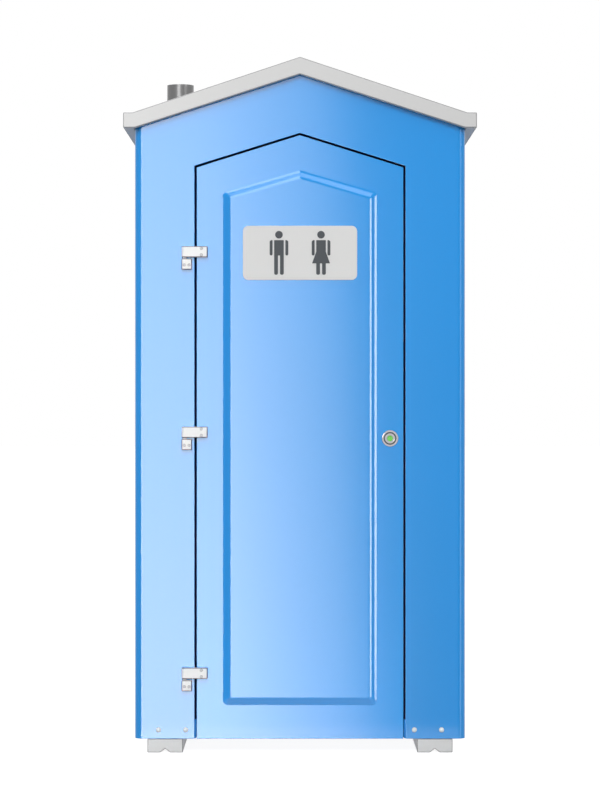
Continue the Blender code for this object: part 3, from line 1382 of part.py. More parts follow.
empty_scene()
PARTS = new_collection("portable_toilet")
CUTTERS = new_collection("portable_toilet_cutters")
make_cabin()
make_door()
make_toilet()
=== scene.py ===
"""Looks of the portable toilet: materials, dressed copies of the CAD nodes, floor, lights and camera."""

import json
import math

import bmesh
import bpy
from mathutils import Matrix, Vector

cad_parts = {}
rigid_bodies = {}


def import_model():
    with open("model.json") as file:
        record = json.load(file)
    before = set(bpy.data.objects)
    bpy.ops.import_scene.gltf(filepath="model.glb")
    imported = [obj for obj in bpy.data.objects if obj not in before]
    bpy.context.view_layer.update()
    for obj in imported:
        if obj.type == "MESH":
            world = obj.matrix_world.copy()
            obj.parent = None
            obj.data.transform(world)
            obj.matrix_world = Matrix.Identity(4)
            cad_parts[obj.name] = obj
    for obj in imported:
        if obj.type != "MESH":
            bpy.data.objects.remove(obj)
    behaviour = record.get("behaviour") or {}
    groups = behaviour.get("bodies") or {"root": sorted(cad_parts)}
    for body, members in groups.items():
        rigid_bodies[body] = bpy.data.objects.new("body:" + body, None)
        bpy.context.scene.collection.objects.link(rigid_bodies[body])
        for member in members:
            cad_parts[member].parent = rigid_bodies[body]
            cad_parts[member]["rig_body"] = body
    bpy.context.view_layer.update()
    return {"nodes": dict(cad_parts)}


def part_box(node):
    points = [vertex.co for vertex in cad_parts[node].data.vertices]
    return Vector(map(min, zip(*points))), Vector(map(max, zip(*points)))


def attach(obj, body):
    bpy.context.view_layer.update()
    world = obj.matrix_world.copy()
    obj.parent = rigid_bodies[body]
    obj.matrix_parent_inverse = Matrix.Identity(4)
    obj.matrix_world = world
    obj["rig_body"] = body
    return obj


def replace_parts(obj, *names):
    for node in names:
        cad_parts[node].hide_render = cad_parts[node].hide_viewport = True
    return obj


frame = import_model()

# Photograph
CAMERA_PLACE = (0.0, -9.845, 1.167)
CAMERA_LENS = 126.0
FRONT_FACE = -0.575  # where the front wall stands

# Levels of the hinges, and nodes of the rivets
LEVELS = ("upper", "middle", "lower")
RIVETS = [f"front_rivet_{number}" for number in range(1, 5)]


# ---------------------------------------------------------------- node helpers
MIX_SHARE, MIX_LOW, MIX_HIGH, MIX_RESULT = 0, 6, 7, 2  # sockets of a Mix node that mixes colours
NOISE_LOW, NOISE_HIGH = 0.3, 0.7  # most of a noise's values lie between these


class Nodes:
    """A material under construction: each call adds one node and returns the output that is used."""

    def __init__(self, name, **values):
        self.material = bpy.data.materials.new(name)
        self.material.use_nodes = True
        self.tree = self.material.node_tree
        self.shader = self.tree.nodes["Principled BSDF"]
        self.set(self.shader, values)
        self.place = self.add("TexCoord").outputs["Object"]

    def feed(self, socket, value):
        """Link an output to a socket, or write a plain value into it."""
        if isinstance(value, bpy.types.NodeSocket):
            self.tree.links.new(value, socket)
        elif socket.type == "RGBA" and len(value) == 3:
            socket.default_value = (*value, 1.0)
        else:
            socket.default_value = value

    def set(self, node, values):
        for key, value in values.items():
            self.feed(node.inputs[key.replace("_", " ")], value)

    def add(self, kind, values=None, **settings):
        node = self.tree.nodes.new("ShaderNode" + kind)
        for key, value in settings.items():
            setattr(node, key, value)
        self.set(node, values or {})
        return node

    def stretched(self, scale):
        return self.add("Mapping", {"Vector": self.place, "Scale": scale}).outputs[0]

    def axis(self, name):
        return self.add("SeparateXYZ", {"Vector": self.place}).outputs[name]

    def noise(self, scale, detail=3.0, rough=0.5, vector=None):
        node = self.add("TexNoise", {
            "Vector": vector or self.place, "Scale": scale, "Detail": detail, "Roughness": rough})
        return node.outputs["Fac"]

    def cells(self, scale):
        return self.add("TexVoronoi", {"Vector": self.place, "Scale": scale}).outputs["Distance"]

    def spread(self, value, low, high, to_low=0.0, to_high=1.0):
        """Bring a range of values to another one."""
        node = self.add("MapRange", {
            "Value": value, "From Min": low, "From Max": high, "To Min": to_low, "To Max": to_high})
        return node.outputs[0]

    def vary(self, noise, to_low=0.0, to_high=1.0):
        """Bring the values of a noise to a range."""
        return self.spread(noise, NOISE_LOW, NOISE_HIGH, to_low, to_high)

    def math(self, operation, *values):
        node = self.add("Math", operation=operation)
        for socket, value in zip(node.inputs, values):
            self.feed(socket, value)
        return node.outputs[0]

    def mix(self, share, low, high):
        node = self.add("Mix", data_type="RGBA")
        for index, value in ((MIX_SHARE, share), (MIX_LOW, low), (MIX_HIGH, high)):
            self.feed(node.inputs[index], value)
        return node.outputs[MIX_RESULT]

    def bump(self, height, distance, normal=None):
        values = {"Height": height, "Distance": distance}
        if normal:
            values["Normal"] = normal
        return self.add("Bump", values).outputs[0]


def tones(colour, spread):
    """A darker and a lighter tone on both sides of a colour."""
    return tuple(c * (1 - spread) for c in colour), tuple(min(1.0, c * (1 + spread)) for c in colour)


# ---------------------------------------------------------------- materials
# Colour, roughness, depth and scale of the grain, spread of the tone, rub marks, specular level
MOULDED = {
    "blue_plastic": ((0.002, 0.268, 0.720), 0.10, 3e-6, 260.0, 0.012, 0.0, 0.4),
    "pale_plastic": ((0.552, 0.552, 0.549), 0.50, 2e-5, 260.0, 0.015, 0.0, 0.2),
    "skid_plastic": ((0.540, 0.546, 0.546), 0.35, 4e-5, 180.0, 0.03, 0.15, 0.25),
    "tank_plastic": ((0.045, 0.046, 0.050), 0.42, 6e-5, 160.0, 0.08, 0.1, 0.5),
    "black_plastic": ((0.028, 0.028, 0.030), 0.38, 3e-5, 500.0, 0.08, 0.0, 0.5),
    "figure_film": ((0.083, 0.090, 0.099), 0.60, 5e-6, 300.0, 0.03, 0.0, 0.05),
    "pipe_plastic": ((0.135, 0.135, 0.137), 0.27, 8e-6, 300.0, 0.03, 0.0, 0.5),
    "white_plastic": ((0.84, 0.84, 0.835), 0.25, 1e-5, 300.0, 0.012, 0.0, 0.1),
    "sign_face": ((0.665, 0.665, 0.660), 0.45, 8e-6, 350.0, 0.012, 0.0, 0.05),
    "rivet_face": ((0.60, 0.66, 0.67), 0.30, 1e-5, 500.0, 0.02, 0.0, 0.5),
    # dark navy of the door frame: painted shade of the gap round the door
    "frame_painted_shade": ((0.0005, 0.004, 0.040), 0.60, 2e-5, 400.0, 0.1, 0.0, 0.05),
    # the three rim colours below are painted shade: dark outlines on rounded edges
    "pale_rim_shade": ((0.300, 0.300, 0.305), 0.60, 2e-5, 400.0, 0.05, 0.0, 0.2),
    "skid_rim_shade": ((0.190, 0.192, 0.195), 0.60, 4e-5, 300.0, 0.08, 0.0, 0.2),
    "hinge_rim": ((0.035, 0.040, 0.055), 0.60, 1e-5, 400.0, 0.05, 0.0, 0.05),
    "cardboard": ((0.42, 0.33, 0.24), 0.85, 6e-5, 300.0, 0.08, 0.0, 0.2),
}
# Colour, roughness, stretch of the drawing lines, spread of the tone
METALS = {
    "plain_steel": ((0.40, 0.40, 0.41), 0.34, (1.0, 1.0, 0.03), 0.12),
    "bright_chrome": ((0.52, 0.53, 0.55), 0.16, (1.0, 1.0, 1.0), 0.03),
    "screw_face": ((0.62, 0.62, 0.63), 0.34, (1.0, 1.0, 0.03), 0.12),
}
SATIN_SPREAD = 0.02  # of the roughness of moulded plastic
RUB_STRETCH = (1.0, 1.0, 0.08)  # rub marks run up and down
RUB_ROUGHER = 0.25  # roughness that a full rub mark adds
PIT_CLOSER, PIT_DEPTH = 2.2, 0.4  # scale and depth of the pits, as shares of the grain's
FILM_DARKER = 0.25  # tone of the dull film on metal
LINE_DEPTH = 8e-6  # of drawn metal
INDICATOR_GREEN = 0.0198  # width of the green part, from its right edge


def moulded(name, colour, roughness, grain, grain_scale, spread, marks, specular):
    """Moulded plastic: cloudy tone, orange peel, fine pits and a few faint rub marks."""
    m = Nodes(name, Specular_IOR_Level=specular)
    cloud = m.noise(scale=2.3, detail=4.0, rough=0.55)
    speckle = m.noise(scale=420.0, detail=2.0)
    streaks = m.noise(scale=55.0, detail=5.0, rough=0.7, vector=m.stretched(RUB_STRETCH))
    rub = m.spread(streaks, 0.66, 0.74, 0.0, marks)
    worn = tuple(0.5 * c + 0.35 for c in colour)
    tone = m.mix(m.vary(cloud), *tones(colour, spread))
    tone = m.mix(m.spread(speckle, 0.35, 0.65, 0.0, 0.5), tone, colour)
    tone = m.mix(rub, tone, worn)
    patches = m.noise(scale=9.0, detail=5.0, rough=0.6)
    satin = m.spread(
        patches, 0.25, 0.75, roughness * (1 - SATIN_SPREAD), roughness * (1 + SATIN_SPREAD))
    satin = m.math("ADD", satin, m.math("MULTIPLY", rub, RUB_ROUGHER))
    peel = m.noise(grain_scale, rough=0.45)
    pits = m.spread(m.cells(grain_scale * PIT_CLOSER), 0.0, 0.55)
    normal = m.bump(peel, grain)
    normal = m.bump(pits, grain * PIT_DEPTH, normal)
    m.set(m.shader, {"Base Color": tone, "Roughness": satin, "Normal": normal})
    return m.material


def drawn(name, colour, roughness, stretch, spread):
    """Drawn metal with fine lines along it, and a cloudy dull film."""
    m = Nodes(name, Metallic=1.0)
    lines = m.noise(scale=900.0, detail=4.0, rough=0.6, vector=m.stretched(stretch))
    cloud = m.noise(scale=14.0, detail=5.0, rough=0.6)
    film = tones(colour, FILM_DARKER)[0]
    tone = m.mix(m.vary(lines), *tones(colour, spread))
    tone = m.mix(m.spread(cloud, 0.4, 0.7, 0.0, 0.35), tone, film)
    dull = m.math("ADD", m.vary(cloud, roughness * 0.85, roughness * 1.2), m.vary(lines, -0.03, 0.03))
    m.set(m.shader, {"Base Color": tone, "Roughness": dull, "Normal": m.bump(lines, LINE_DEPTH)})
    return m.material


def indicator_paint():
    """Green for free, and red on the side that slides in behind the window when it is locked."""
    m = Nodes("indicator_paint")
    green, red, dirt = (0.190, 0.950, 0.045), (0.70, 0.022, 0.018), (0.02, 0.03, 0.02)
    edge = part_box("indicator_plate")[1].x - INDICATOR_GREEN
    tone = m.mix(m.math("LESS_THAN", m.axis("X"), edge), green, red)
    tone = m.mix(m.vary(m.noise(scale=160.0), 0.0, 0.12), tone, dirt)
    m.set(m.shader, {
        "Base Color": tone, "Roughness": m.vary(m.noise(scale=90.0), 0.28, 0.36),
        "Normal": m.bump(m.noise(scale=700.0), distance=1e-5)})
    return m.material


def clear_plastic():
    """The clear window of the lock, with faint moulding waves."""
    m = Nodes("clear_plastic", Transmission_Weight=1.0, IOR=1.45)
    tone = m.mix(m.vary(m.noise(scale=60.0)), (0.95, 0.98, 0.96), (0.99, 1.0, 0.99))
    m.set(m.shader, {
        "Base Color": tone, "Roughness": m.vary(m.noise(scale=120.0), 0.01, 0.04),
        "Normal": m.bump(m.noise(scale=45.0), distance=2e-5)})
    return m.material


def tissue():
    """Soft two-ply paper with a fine embossed dot."""
    m = Nodes("tissue", Subsurface_Weight=0.15, Subsurface_Radius=(0.004, 0.004, 0.003))
    fibre = m.noise(scale=600.0, detail=5.0, rough=0.65)
    dots = m.spread(m.cells(330.0), 0.05, 0.35)
    tone = m.mix(m.vary(fibre), (0.80, 0.79, 0.76), (0.90, 0.895, 0.87))
    normal = m.bump(dots, 0.0002, m.bump(fibre, 0.00008))
    m.set(m.shader, {"Base Color": tone, "Roughness": m.vary(fibre, 0.82, 0.95), "Normal": normal})
    return m.material


MATERIALS = {"indicator_paint": indicator_paint(), "clear_plastic": clear_plastic(), "tissue": tissue()}
MATERIALS.update({name: moulded(name, *values) for name, values in MOULDED.items()})
MATERIALS.update({name: drawn(name, *values) for name, values in METALS.items()})


# ---------------------------------------------------------------- pieces
EDGE_ANGLE = math.radians(30)  # an edge that turns more than this is sharp


def slot_of(node):
    return frame["nodes"][node].data.materials[0].name.split(".")[0]


def body_of(node):
    return frame["nodes"][node]["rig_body"]


def piece_from(bm, name, body, slot, material=None):
    """One finished piece in its slot's material or in another one, riding on its body."""
    mesh = bpy.data.meshes.new(name)
    bm.to_mesh(mesh)
    bm.free()
    piece = bpy.data.objects.new(name, mesh)
    bpy.context.scene.collection.objects.link(piece)
    mesh.materials.append(MATERIALS[material or slot])
    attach(piece, body)
    return piece


def smooth_round(bm):
    """Shade a mesh smooth, apart from its sharp edges."""
    for edge in bm.edges:
        edge.smooth = edge.calc_face_angle(0) < EDGE_ANGLE
    for face in bm.faces:
        face.smooth = True


# ---------------------------------------------------------------- dressed nodes
WELD_DISTANCE = 0.00002
SAME_PLANE = math.radians(0.3)  # CAD faces that turn less than this become one face
FLAT_ANGLE = math.radians(0.05)  # faces that turn less than this belong to one flat area
FILL_AREA = 0.001  # a larger flat area is cut into new triangles
FLAT_AREA = 0.03  # a larger one is shaded flat up to its outline
EDGE_SEGMENTS, EDGE_PROFILE = 2, 0.6
RIM_TOP = 0.9  # a face that points up more than this keeps the colour of the piece, without the painted shade of the rims
HEAD_FRONT = 0.99  # a screw head's face points forward more than this
HEAD_RIM = 0.0020  # left round the recess
RECESS = 0.0005  # its depth

# Radius of the rounded edges of each node
EDGES = {
    "back_wall": 0.0008, "front_wall": 0.0013, "left_wall": 0.0008, "right_wall": 0.0008,
    "roof": 0.0030, "floor_pan": 0.0012, "skid_left": 0.0020, "skid_right": 0.0020,
    "door_frame": 0.0008, "door_outer_skin": 0.0013, "door_inner_skin": 0.0010,
    "left_vent_grille": 0.0007, "right_vent_grille": 0.0007, "sign_plate": 0.0006,
    "waste_tank": 0.0025, "seat": 0.0, "lid": 0.0, "coat_hook": 0.0008,
    "door_pull": 0.0008, "lock_case": 0.0015, "lock_rose": 0.0005, "lock_barrel": 0.0004,
    "lock_window": 0.0002, "lock_bolt": 0.0006, "lock_keeper": 0.0004, "thumb_turn": 0.0004,
    "indicator_plate": 0.0, "vent_pipe": 0.0006, "pipe_boot": 0.0008,
    "upper_pipe_bracket": 0.0004, "lower_pipe_bracket": 0.0004, "paper_holder": 0.0008,
    "paper_spindle": 0.0006, "seat_hinge_rod": 0.0005, "seat_post_left": 0.0010,
    "seat_post_right": 0.0010,
    "man_head": 0.0, "woman_head": 0.0,
}
EDGES.update({node: 0.0010 for node in RIVETS})
for level in LEVELS:
    EDGES.update({f"{level}_hinge_{leaf}": 0.0022 for leaf in ("strap", "block")})
    EDGES.update({f"{level}_{leaf}_screws": 0.0004 for leaf in ("strap", "block")})
    EDGES[f"{level}_hinge_pin"] = 0.0003

# Material of a node where it isn't its slot's, and the darker material of its rounded edges, which
# paints shade round them
# the door frame's dark navy paints the shade in the gap round the door
FACES = {"sign_plate": "sign_face", "door_frame": "frame_painted_shade"}
RIM_SHADES = {"roof": "pale_rim_shade", "skid_left": "skid_rim_shade", "skid_right": "skid_rim_shade"}
for node in RIVETS:
    FACES[node], RIM_SHADES[node] = "rivet_face", "pale_rim_shade"
for level in LEVELS:
    for leaf in ("strap", "block"):
        FACES[f"{level}_{leaf}_screws"], RIM_SHADES[f"{level}_hinge_{leaf}"] = "screw_face", "hinge_rim"


def clean_mesh(node):
    """A CAD node's mesh as one welded skin with its flat areas whole."""
    bm = bmesh.new()
    bm.from_mesh(frame["nodes"][node].data)
    bmesh.ops.remove_doubles(bm, verts=bm.verts, dist=WELD_DISTANCE)
    bmesh.ops.dissolve_limit(
        bm, angle_limit=SAME_PLANE, verts=bm.verts, edges=bm.edges, use_dissolve_boundaries=False)
    return bm


def drive_recess(bm):
    """A small recess in the middle of each head that faces the front."""
    front = min(v.co.y for v in bm.verts)
    heads = [f for f in bm.faces
             if f.normal.y < -HEAD_FRONT and f.calc_center_median().y < front + RECESS]
    for thickness, depth in ((HEAD_RIM, 0.0), (RECESS / 2, -RECESS)):
        bmesh.ops.inset_individual(bm, faces=heads, thickness=thickness, depth=depth)


def flat_area(face, seen):
    """All the faces that lie in one plane with this one and touch it or each other."""
    area, waiting = [], [face]
    seen.add(face)
    while waiting:
        face = waiting.pop()
        area.append(face)
        for edge in face.edges:
            if len(edge.link_faces) == 2 and edge.calc_face_angle() < FLAT_ANGLE:
                for other in edge.link_faces:
                    if other not in seen:
                        seen.add(other)
                        waiting.append(other)
    return area


def refill(bm, area):
    """Cut a flat area into clean triangles between its outlines, and return them."""
    normal, material = area[0].normal.copy(), area[0].material_index
    inside = set(area)
    edges = {e for f in area for e in f.edges}
    outline = [e for e in edges if sum(f in inside for f in e.link_faces) == 1]
    bmesh.ops.delete(bm, geom=area, context="FACES_ONLY")
    for edge in edges.difference(outline):
        bm.edges.remove(edge)
    made = bmesh.ops.triangle_fill(bm, use_beauty=True, edges=outline, normal=normal)["geom"]
    faces = [g for g in made if isinstance(g, bmesh.types.BMFace)]
    for face in faces:
        face.material_index = material
        face.normal_update()
        if face.normal.dot(normal) < 0:
            face.normal_flip()
    return faces


def fill_flats(bm):
    """Refill the flat areas that aren't tiny, and return the faces of the large ones."""
    bm.normal_update()
    seen, areas, large = set(), [], []
    for face in bm.faces:
        if face not in seen:
            areas.append(flat_area(face, seen))
    for area in areas:
        size = sum(f.calc_area() for f in area)
        if size > FILL_AREA and (len(area) > 1 or len(area[0].verts) > 4):
            area = refill(bm, area)
        if size > FLAT_AREA:
            large.extend(area)
    bm.normal_update()
    return set(large)


def even_normals(bm, flats):
    """Vertex normals that leave large flat areas flat and turn evenly round the edges between them."""
    bm.verts.index_update()
    normals = []
    for vert in bm.verts:
        total, flat = Vector(), Vector()
        for corner in vert.link_loops:
            share = corner.face.normal * corner.face.calc_area() * corner.calc_angle()
            total += share
            if corner.face in flats:
                flat += share
        normals.append((flat if flat.length else total).normalized())
    return normals


def dress(node, radius, material, rim_shade, shape):
    """A copy of a CAD node with rounded edges and even shading, which stands for the node."""
    bm = clean_mesh(node)
    if shape:
        shape(bm)
    sharp = [e for e in bm.edges if len(e.link_faces) == 2 and e.calc_face_angle(0) > EDGE_ANGLE]
    if radius:
        bmesh.ops.bevel(
            bm, geom=sharp, offset=radius, offset_type="OFFSET", segments=EDGE_SEGMENTS,
            profile=EDGE_PROFILE, affect="EDGES", clamp_overlap=False, miter_outer="SHARP",
            loop_slide=False, material=1 if rim_shade else 0)
    else:
        for edge in sharp:
            edge.smooth = False
    flats = fill_flats(bm)
    for face in bm.faces:
        face.smooth = True
        if face.normal.z > RIM_TOP:
            face.material_index = 0
    normals = even_normals(bm, flats)
    piece = piece_from(bm, node + "_finish", body_of(node), slot_of(node), material)
    # the rounded edges that don't face up get the rim's painted shade
    if rim_shade:
        piece.data.materials.append(MATERIALS[rim_shade])
    if radius:
        piece.data.normals_split_custom_set_from_vertices(normals)
    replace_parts(piece, node)


for node in sorted(EDGES):
    dress(node, EDGES[node], FACES.get(node), RIM_SHADES.get(node), drive_recess if "screws" in node else None)


# ---------------------------------------------------------------- sign figures
CORNER_STEPS = 8
TRUNK_HALF = 0.0159
ARM_INNER, ARM_OUTER = 0.0212, 0.0308  # from the middle of the trunk
ARM_LENGTH = 0.0507
SHOULDER_RADIUS = 0.0068
ARM_END_RADIUS = 0.0046
LEG_END_RADIUS = 0.0054
SMALL_RADIUS = 0.0010
LEG_GAP_HALF = 0.0034
CROTCH = 0.0507  # this, the waist and the hem are measured down from the shoulders
WAIST = 0.0385
WAIST_RADIUS = 0.012
SKIRT_HALF, SKIRT_HEM = 0.0297, 0.0769


def round_corner(corner, before, after, radius):
    """The points of an arc that takes the place of a corner between its two neighbours."""
    back, ahead = (before - corner).normalized(), (after - corner).normalized()
    half = back.angle(ahead) / 2
    centre = corner + (back + ahead).normalized() * radius / math.sin(half)
    start = corner + back * radius / math.tan(half) - centre
    turn = -start.angle_signed(corner + ahead * radius / math.tan(half) - centre)
    return [centre + Matrix.Rotation(turn * step / CORNER_STEPS, 2) @ start
            for step in range(CORNER_STEPS + 1)]


def outline_of(corners):
    """A closed outline from corners of place across, place up and radius."""
    points = []
    for index, (across, up, radius) in enumerate(corners):
        before, after = Vector(corners[index - 1][:2]), Vector(corners[(index + 1) % len(corners)][:2])
        points.extend(round_corner(Vector((across, up)), before, after, radius))
    return points


def other_side(corners):
    return [(-across, up, radius) for across, up, radius in corners]


def figure(node, skirt):
    """A figure of the sign in cut film, its arms apart from its trunk."""
    low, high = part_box(node)
    middle, foot = (low.x + high.x) / 2, low.z - high.z
    half = [(TRUNK_HALF, 0.0, SMALL_RADIUS)]
    if skirt:
        half += [(TRUNK_HALF, -WAIST, WAIST_RADIUS), (SKIRT_HALF, -SKIRT_HEM, SMALL_RADIUS),
                 (TRUNK_HALF, -SKIRT_HEM, SMALL_RADIUS)]
    half += [(TRUNK_HALF, foot, LEG_END_RADIUS), (LEG_GAP_HALF, foot, LEG_END_RADIUS),
             (LEG_GAP_HALF, -SKIRT_HEM if skirt else -CROTCH, SMALL_RADIUS)]
    arm = [(ARM_INNER, 0.0, SMALL_RADIUS), (ARM_OUTER, 0.0, SHOULDER_RADIUS),
           (ARM_OUTER, -ARM_LENGTH, ARM_END_RADIUS), (ARM_INNER, -ARM_LENGTH, ARM_END_RADIUS)]
    bm = bmesh.new()
    for corners in (half + other_side(half)[::-1], arm, other_side(arm)):
        outline = outline_of(corners)
        sheets = [[bm.verts.new((middle + across, depth, high.z + up)) for across, up in outline]
                  for depth in (low.y, high.y)]
        for sheet in sheets:
            bm.faces.new(sheet)
        front, back = sheets
        for index in range(len(front)):
            bm.faces.new((front[index - 1], front[index], back[index], back[index - 1]))
    bmesh.ops.recalc_face_normals(bm, faces=bm.faces)
    smooth_round(bm)
    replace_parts(piece_from(bm, node + "_film", body_of(node), slot_of(node)), node)


figure("man_body", skirt=False)
figure("woman_body", skirt=True)


# ---------------------------------------------------------------- turned pieces
def ring_at(bm, middle, angle, profile):
    """A profile of radius and depth, at an angle round an axis that runs from front to back."""
    return [bm.verts.new((middle.x + radius * math.cos(angle), y, middle.z + radius * math.sin(angle)))
            for radius, y in profile]


def strip_faces(bm, rows, closed, material=0):
    """Skin a row of rings, and cap its two ends where it is open."""
    count = len(rows)
    for index in range(count if closed else count - 1):
        ring, following = rows[index], rows[(index + 1) % count]
        for side in range(len(ring)):
            after = (side + 1) % len(ring)
            face = bm.faces.new((ring[side], ring[after], following[after], following[side]))
            face.material_index = material
    if not closed:
        bm.faces.new(rows[0][::-1])
        bm.faces.new(rows[-1])
    bmesh.ops.recalc_face_normals(bm, faces=bm.faces)


# Dark ring in the lock's groove, as painted shade
SHADE_RING_STEPS = 48
SHADE_RING_GAP = 0.0001  # between the barrel and the ring
SHADE_RING_WIDTH = 0.0027
SHADE_RING_HEIGHT = 0.0016
SHADE_RING_SHOULDER = 0.8  # height of its two edges, as a share of the crown's


def lock_gasket():
    """A thin dark ring between the lock's barrel and its rose, which paints the shade of the groove
    there.
    """
    low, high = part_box("lock_barrel")
    inner = (high.x - low.x) / 2 + SHADE_RING_GAP
    outer = inner + SHADE_RING_WIDTH
    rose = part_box("lock_rose")[1].y
    edge, crown = rose - SHADE_RING_HEIGHT * SHADE_RING_SHOULDER, rose - SHADE_RING_HEIGHT
    profile = ((inner, rose), (outer, rose), (outer, edge), ((inner + outer) / 2, crown), (inner, edge))
    bm = bmesh.new()
    rows = [ring_at(bm, (low + high) / 2, math.tau * step / SHADE_RING_STEPS, profile)
            for step in range(SHADE_RING_STEPS)]
    strip_faces(bm, rows, closed=True)
    piece_from(bm, "lock_gasket", "door", "black_plastic")


# Paper roll
PAPER_TURNS = 26
TURN_STEPS = 40
PAPER_START = 0.8  # angle of the inner end
SHEET_SHARE = 0.86  # of the distance between two turns
SPINDLE_GAP = 0.0005
CORE_WALL = 0.0014
CORE_GAP = 0.0001  # between the core and the first turn
LOOSE_TURN = 0.22  # share of the last turn that stands off the roll
PAPER_LIFT = 0.0022  # how far its end stands off
SHRINK_LEAST, SHRINK_SPREAD = 0.0003, 0.0007  # how far a turn's edge lies inside the core's ends
SHRINK_STEP, SHRINK_START = 2.3, 1.1  # angles of the sine that makes it uneven from turn to turn


def paper_roll():
    """A strip wound on a cardboard core, with uneven edges and a loose end."""
    low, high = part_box("paper_roll")
    spindle_low, spindle_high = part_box("paper_spindle")
    middle = (low + high) / 2
    outer = (high.x - low.x) / 2
    inner = (spindle_high.z - spindle_low.z) / 2 + SPINDLE_GAP
    first = inner + CORE_WALL
    pitch = (outer - PAPER_LIFT - first) / PAPER_TURNS
    sheet = pitch * SHEET_SHARE
    bm = bmesh.new()
    rows = []
    for step in range(PAPER_TURNS * TURN_STEPS + 1):
        turns = step / TURN_STEPS
        end = max(0.0, (turns - (PAPER_TURNS - LOOSE_TURN)) / LOOSE_TURN)
        radius = first + pitch * turns + (PAPER_LIFT - sheet) * end ** 2
        wave = math.sin(SHRINK_STEP * math.floor(turns) + SHRINK_START)
        shrink = SHRINK_SPREAD * (1 + wave) / 2 + SHRINK_LEAST
        front, back = low.y + shrink, high.y - shrink
        profile = ((radius, front), (radius + sheet, front), (radius + sheet, back), (radius, back))
        rows.append(ring_at(bm, middle, math.tau * turns + PAPER_START, profile))
    strip_faces(bm, rows, closed=False)
    wall = first - CORE_GAP
    profile = ((inner, low.y), (wall, low.y), (wall, high.y), (inner, high.y))
    rows = [ring_at(bm, middle, math.tau * step / TURN_STEPS, profile) for step in range(TURN_STEPS)]
    strip_faces(bm, rows, closed=True, material=1)
    smooth_round(bm)
    piece = piece_from(bm, "paper_roll_wound", "paper_roll", "tissue")
    piece.data.materials.append(MATERIALS["cardboard"])
    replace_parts(piece, "paper_roll")


lock_gasket()
paper_roll()


# ---------------------------------------------------------------- world and floor
WORLD_LIGHT = 0.72
FLOOR_REACH = 60.0
FLOOR_SEGMENTS = 96
FLOOR_TONE = 0.28
FLOOR_DARKEST = 0.98  # share of that tone
FLOOR_GLOW = 0.94


def seen_directly(tree):
    """One for what the eye sees, also in metal and through glass, and zero for light on the object."""
    rays = tree.nodes.new("ShaderNodeLightPath")
    seen = rays.outputs["Is Camera Ray"]
    for name in ("Is Glossy Ray", "Is Transmission Ray"):
        either = tree.nodes.new("ShaderNodeMath")
        either.operation = "MAXIMUM"
        tree.links.new(seen, either.inputs[0])
        tree.links.new(rays.outputs[name], either.inputs[1])
        seen = either.outputs[0]
    return seen


def make_world():
    """White to the eye, to metal and to glass, and a plain soft light for everything else."""
    world = bpy.data.worlds.new("studio")
    bpy.context.scene.world = world
    world.use_nodes = True
    tree = world.node_tree
    background = tree.nodes["Background"]
    strength = tree.nodes.new("ShaderNodeMapRange")
    strength.inputs["To Min"].default_value = WORLD_LIGHT
    strength.inputs["To Max"].default_value = 1.0
    tree.links.new(seen_directly(tree), strength.inputs["Value"])
    tree.links.new(strength.outputs[0], background.inputs["Strength"])
    background.inputs["Color"].default_value = (1.0, 1.0, 1.0, 1.0)


def make_floor():
    """A pale floor that is white to the eye where it is lit, and keeps the object's shadow."""
    bm = bmesh.new()
    bmesh.ops.create_circle(bm, cap_ends=True, radius=FLOOR_REACH, segments=FLOOR_SEGMENTS)
    mesh = bpy.data.meshes.new("floor")
    bm.to_mesh(mesh)
    bm.free()
    floor = bpy.data.objects.new("floor", mesh)
    bpy.context.scene.collection.objects.link(floor)
    m = Nodes("floor", Roughness=0.9, Specular_IOR_Level=0.0)
    cloud = m.vary(m.noise(scale=40.0, detail=4.0))
    m.set(m.shader, {"Base Color": m.mix(cloud, (FLOOR_TONE * FLOOR_DARKEST,) * 3, (FLOOR_TONE,) * 3)})
    glow = m.add("Emission", {"Strength": m.math("MULTIPLY", seen_directly(m.tree), FLOOR_GLOW)})
    both = m.add("AddShader")
    m.tree.links.new(m.shader.outputs[0], both.inputs[0])
    m.tree.links.new(glow.outputs[0], both.inputs[1])
    m.tree.links.new(both.outputs[0], m.tree.nodes["Material Output"].inputs["Surface"])
    mesh.materials.append(m.material)
    floor.visible_glossy = False  # the front reflects the lamps below it too
    floor.visible_shadow = False  # and their light passes through it


# ---------------------------------------------------------------- lights
MIDDLE = (0.0, FRONT_FACE, CAMERA_PLACE[2])  # of the front wall, at the camera's height


def around(azimuth, elevation, distance):
    """A place round the middle of the front wall; azimuth 0 is in front of it and 90 on its right."""
    a, e = math.radians(azimuth), math.radians(elevation)
    x, y, z = MIDDLE
    return (x + distance * math.sin(a) * math.cos(e),
            y - distance * math.cos(a) * math.cos(e),
            z + distance * math.sin(e))


# The key is reflected in the front wall, and its sizes and places are those of its reflection there
KEY_DISTANCE = 25.0
KEY_RADIANCE = 10.0
KEY_TURN = 0.05  # lean of its right edge
KEY_EDGE = 0.17  # place of that edge at the camera's height
KEY_SIZE = (3.3, 17.75)
KEY_RISE = 5.9  # height of its middle over the camera
KEY_ACROSS = ((0.0, 0.40), (0.15, 0.52), (0.30, 0.70), (0.36, 0.87), (0.45, 1.0),
              (0.65, 1.04), (1.3, 0.97), (2.0, 1.2), (3.0, 1.35))  # distance from that edge, level
KEY_UP = ((0.2, 1.43), (2.2, 0.95), (6.0, 0.78))  # height over the floor, level
KEY_BRIGHTEST = 2.0  # no level is over this

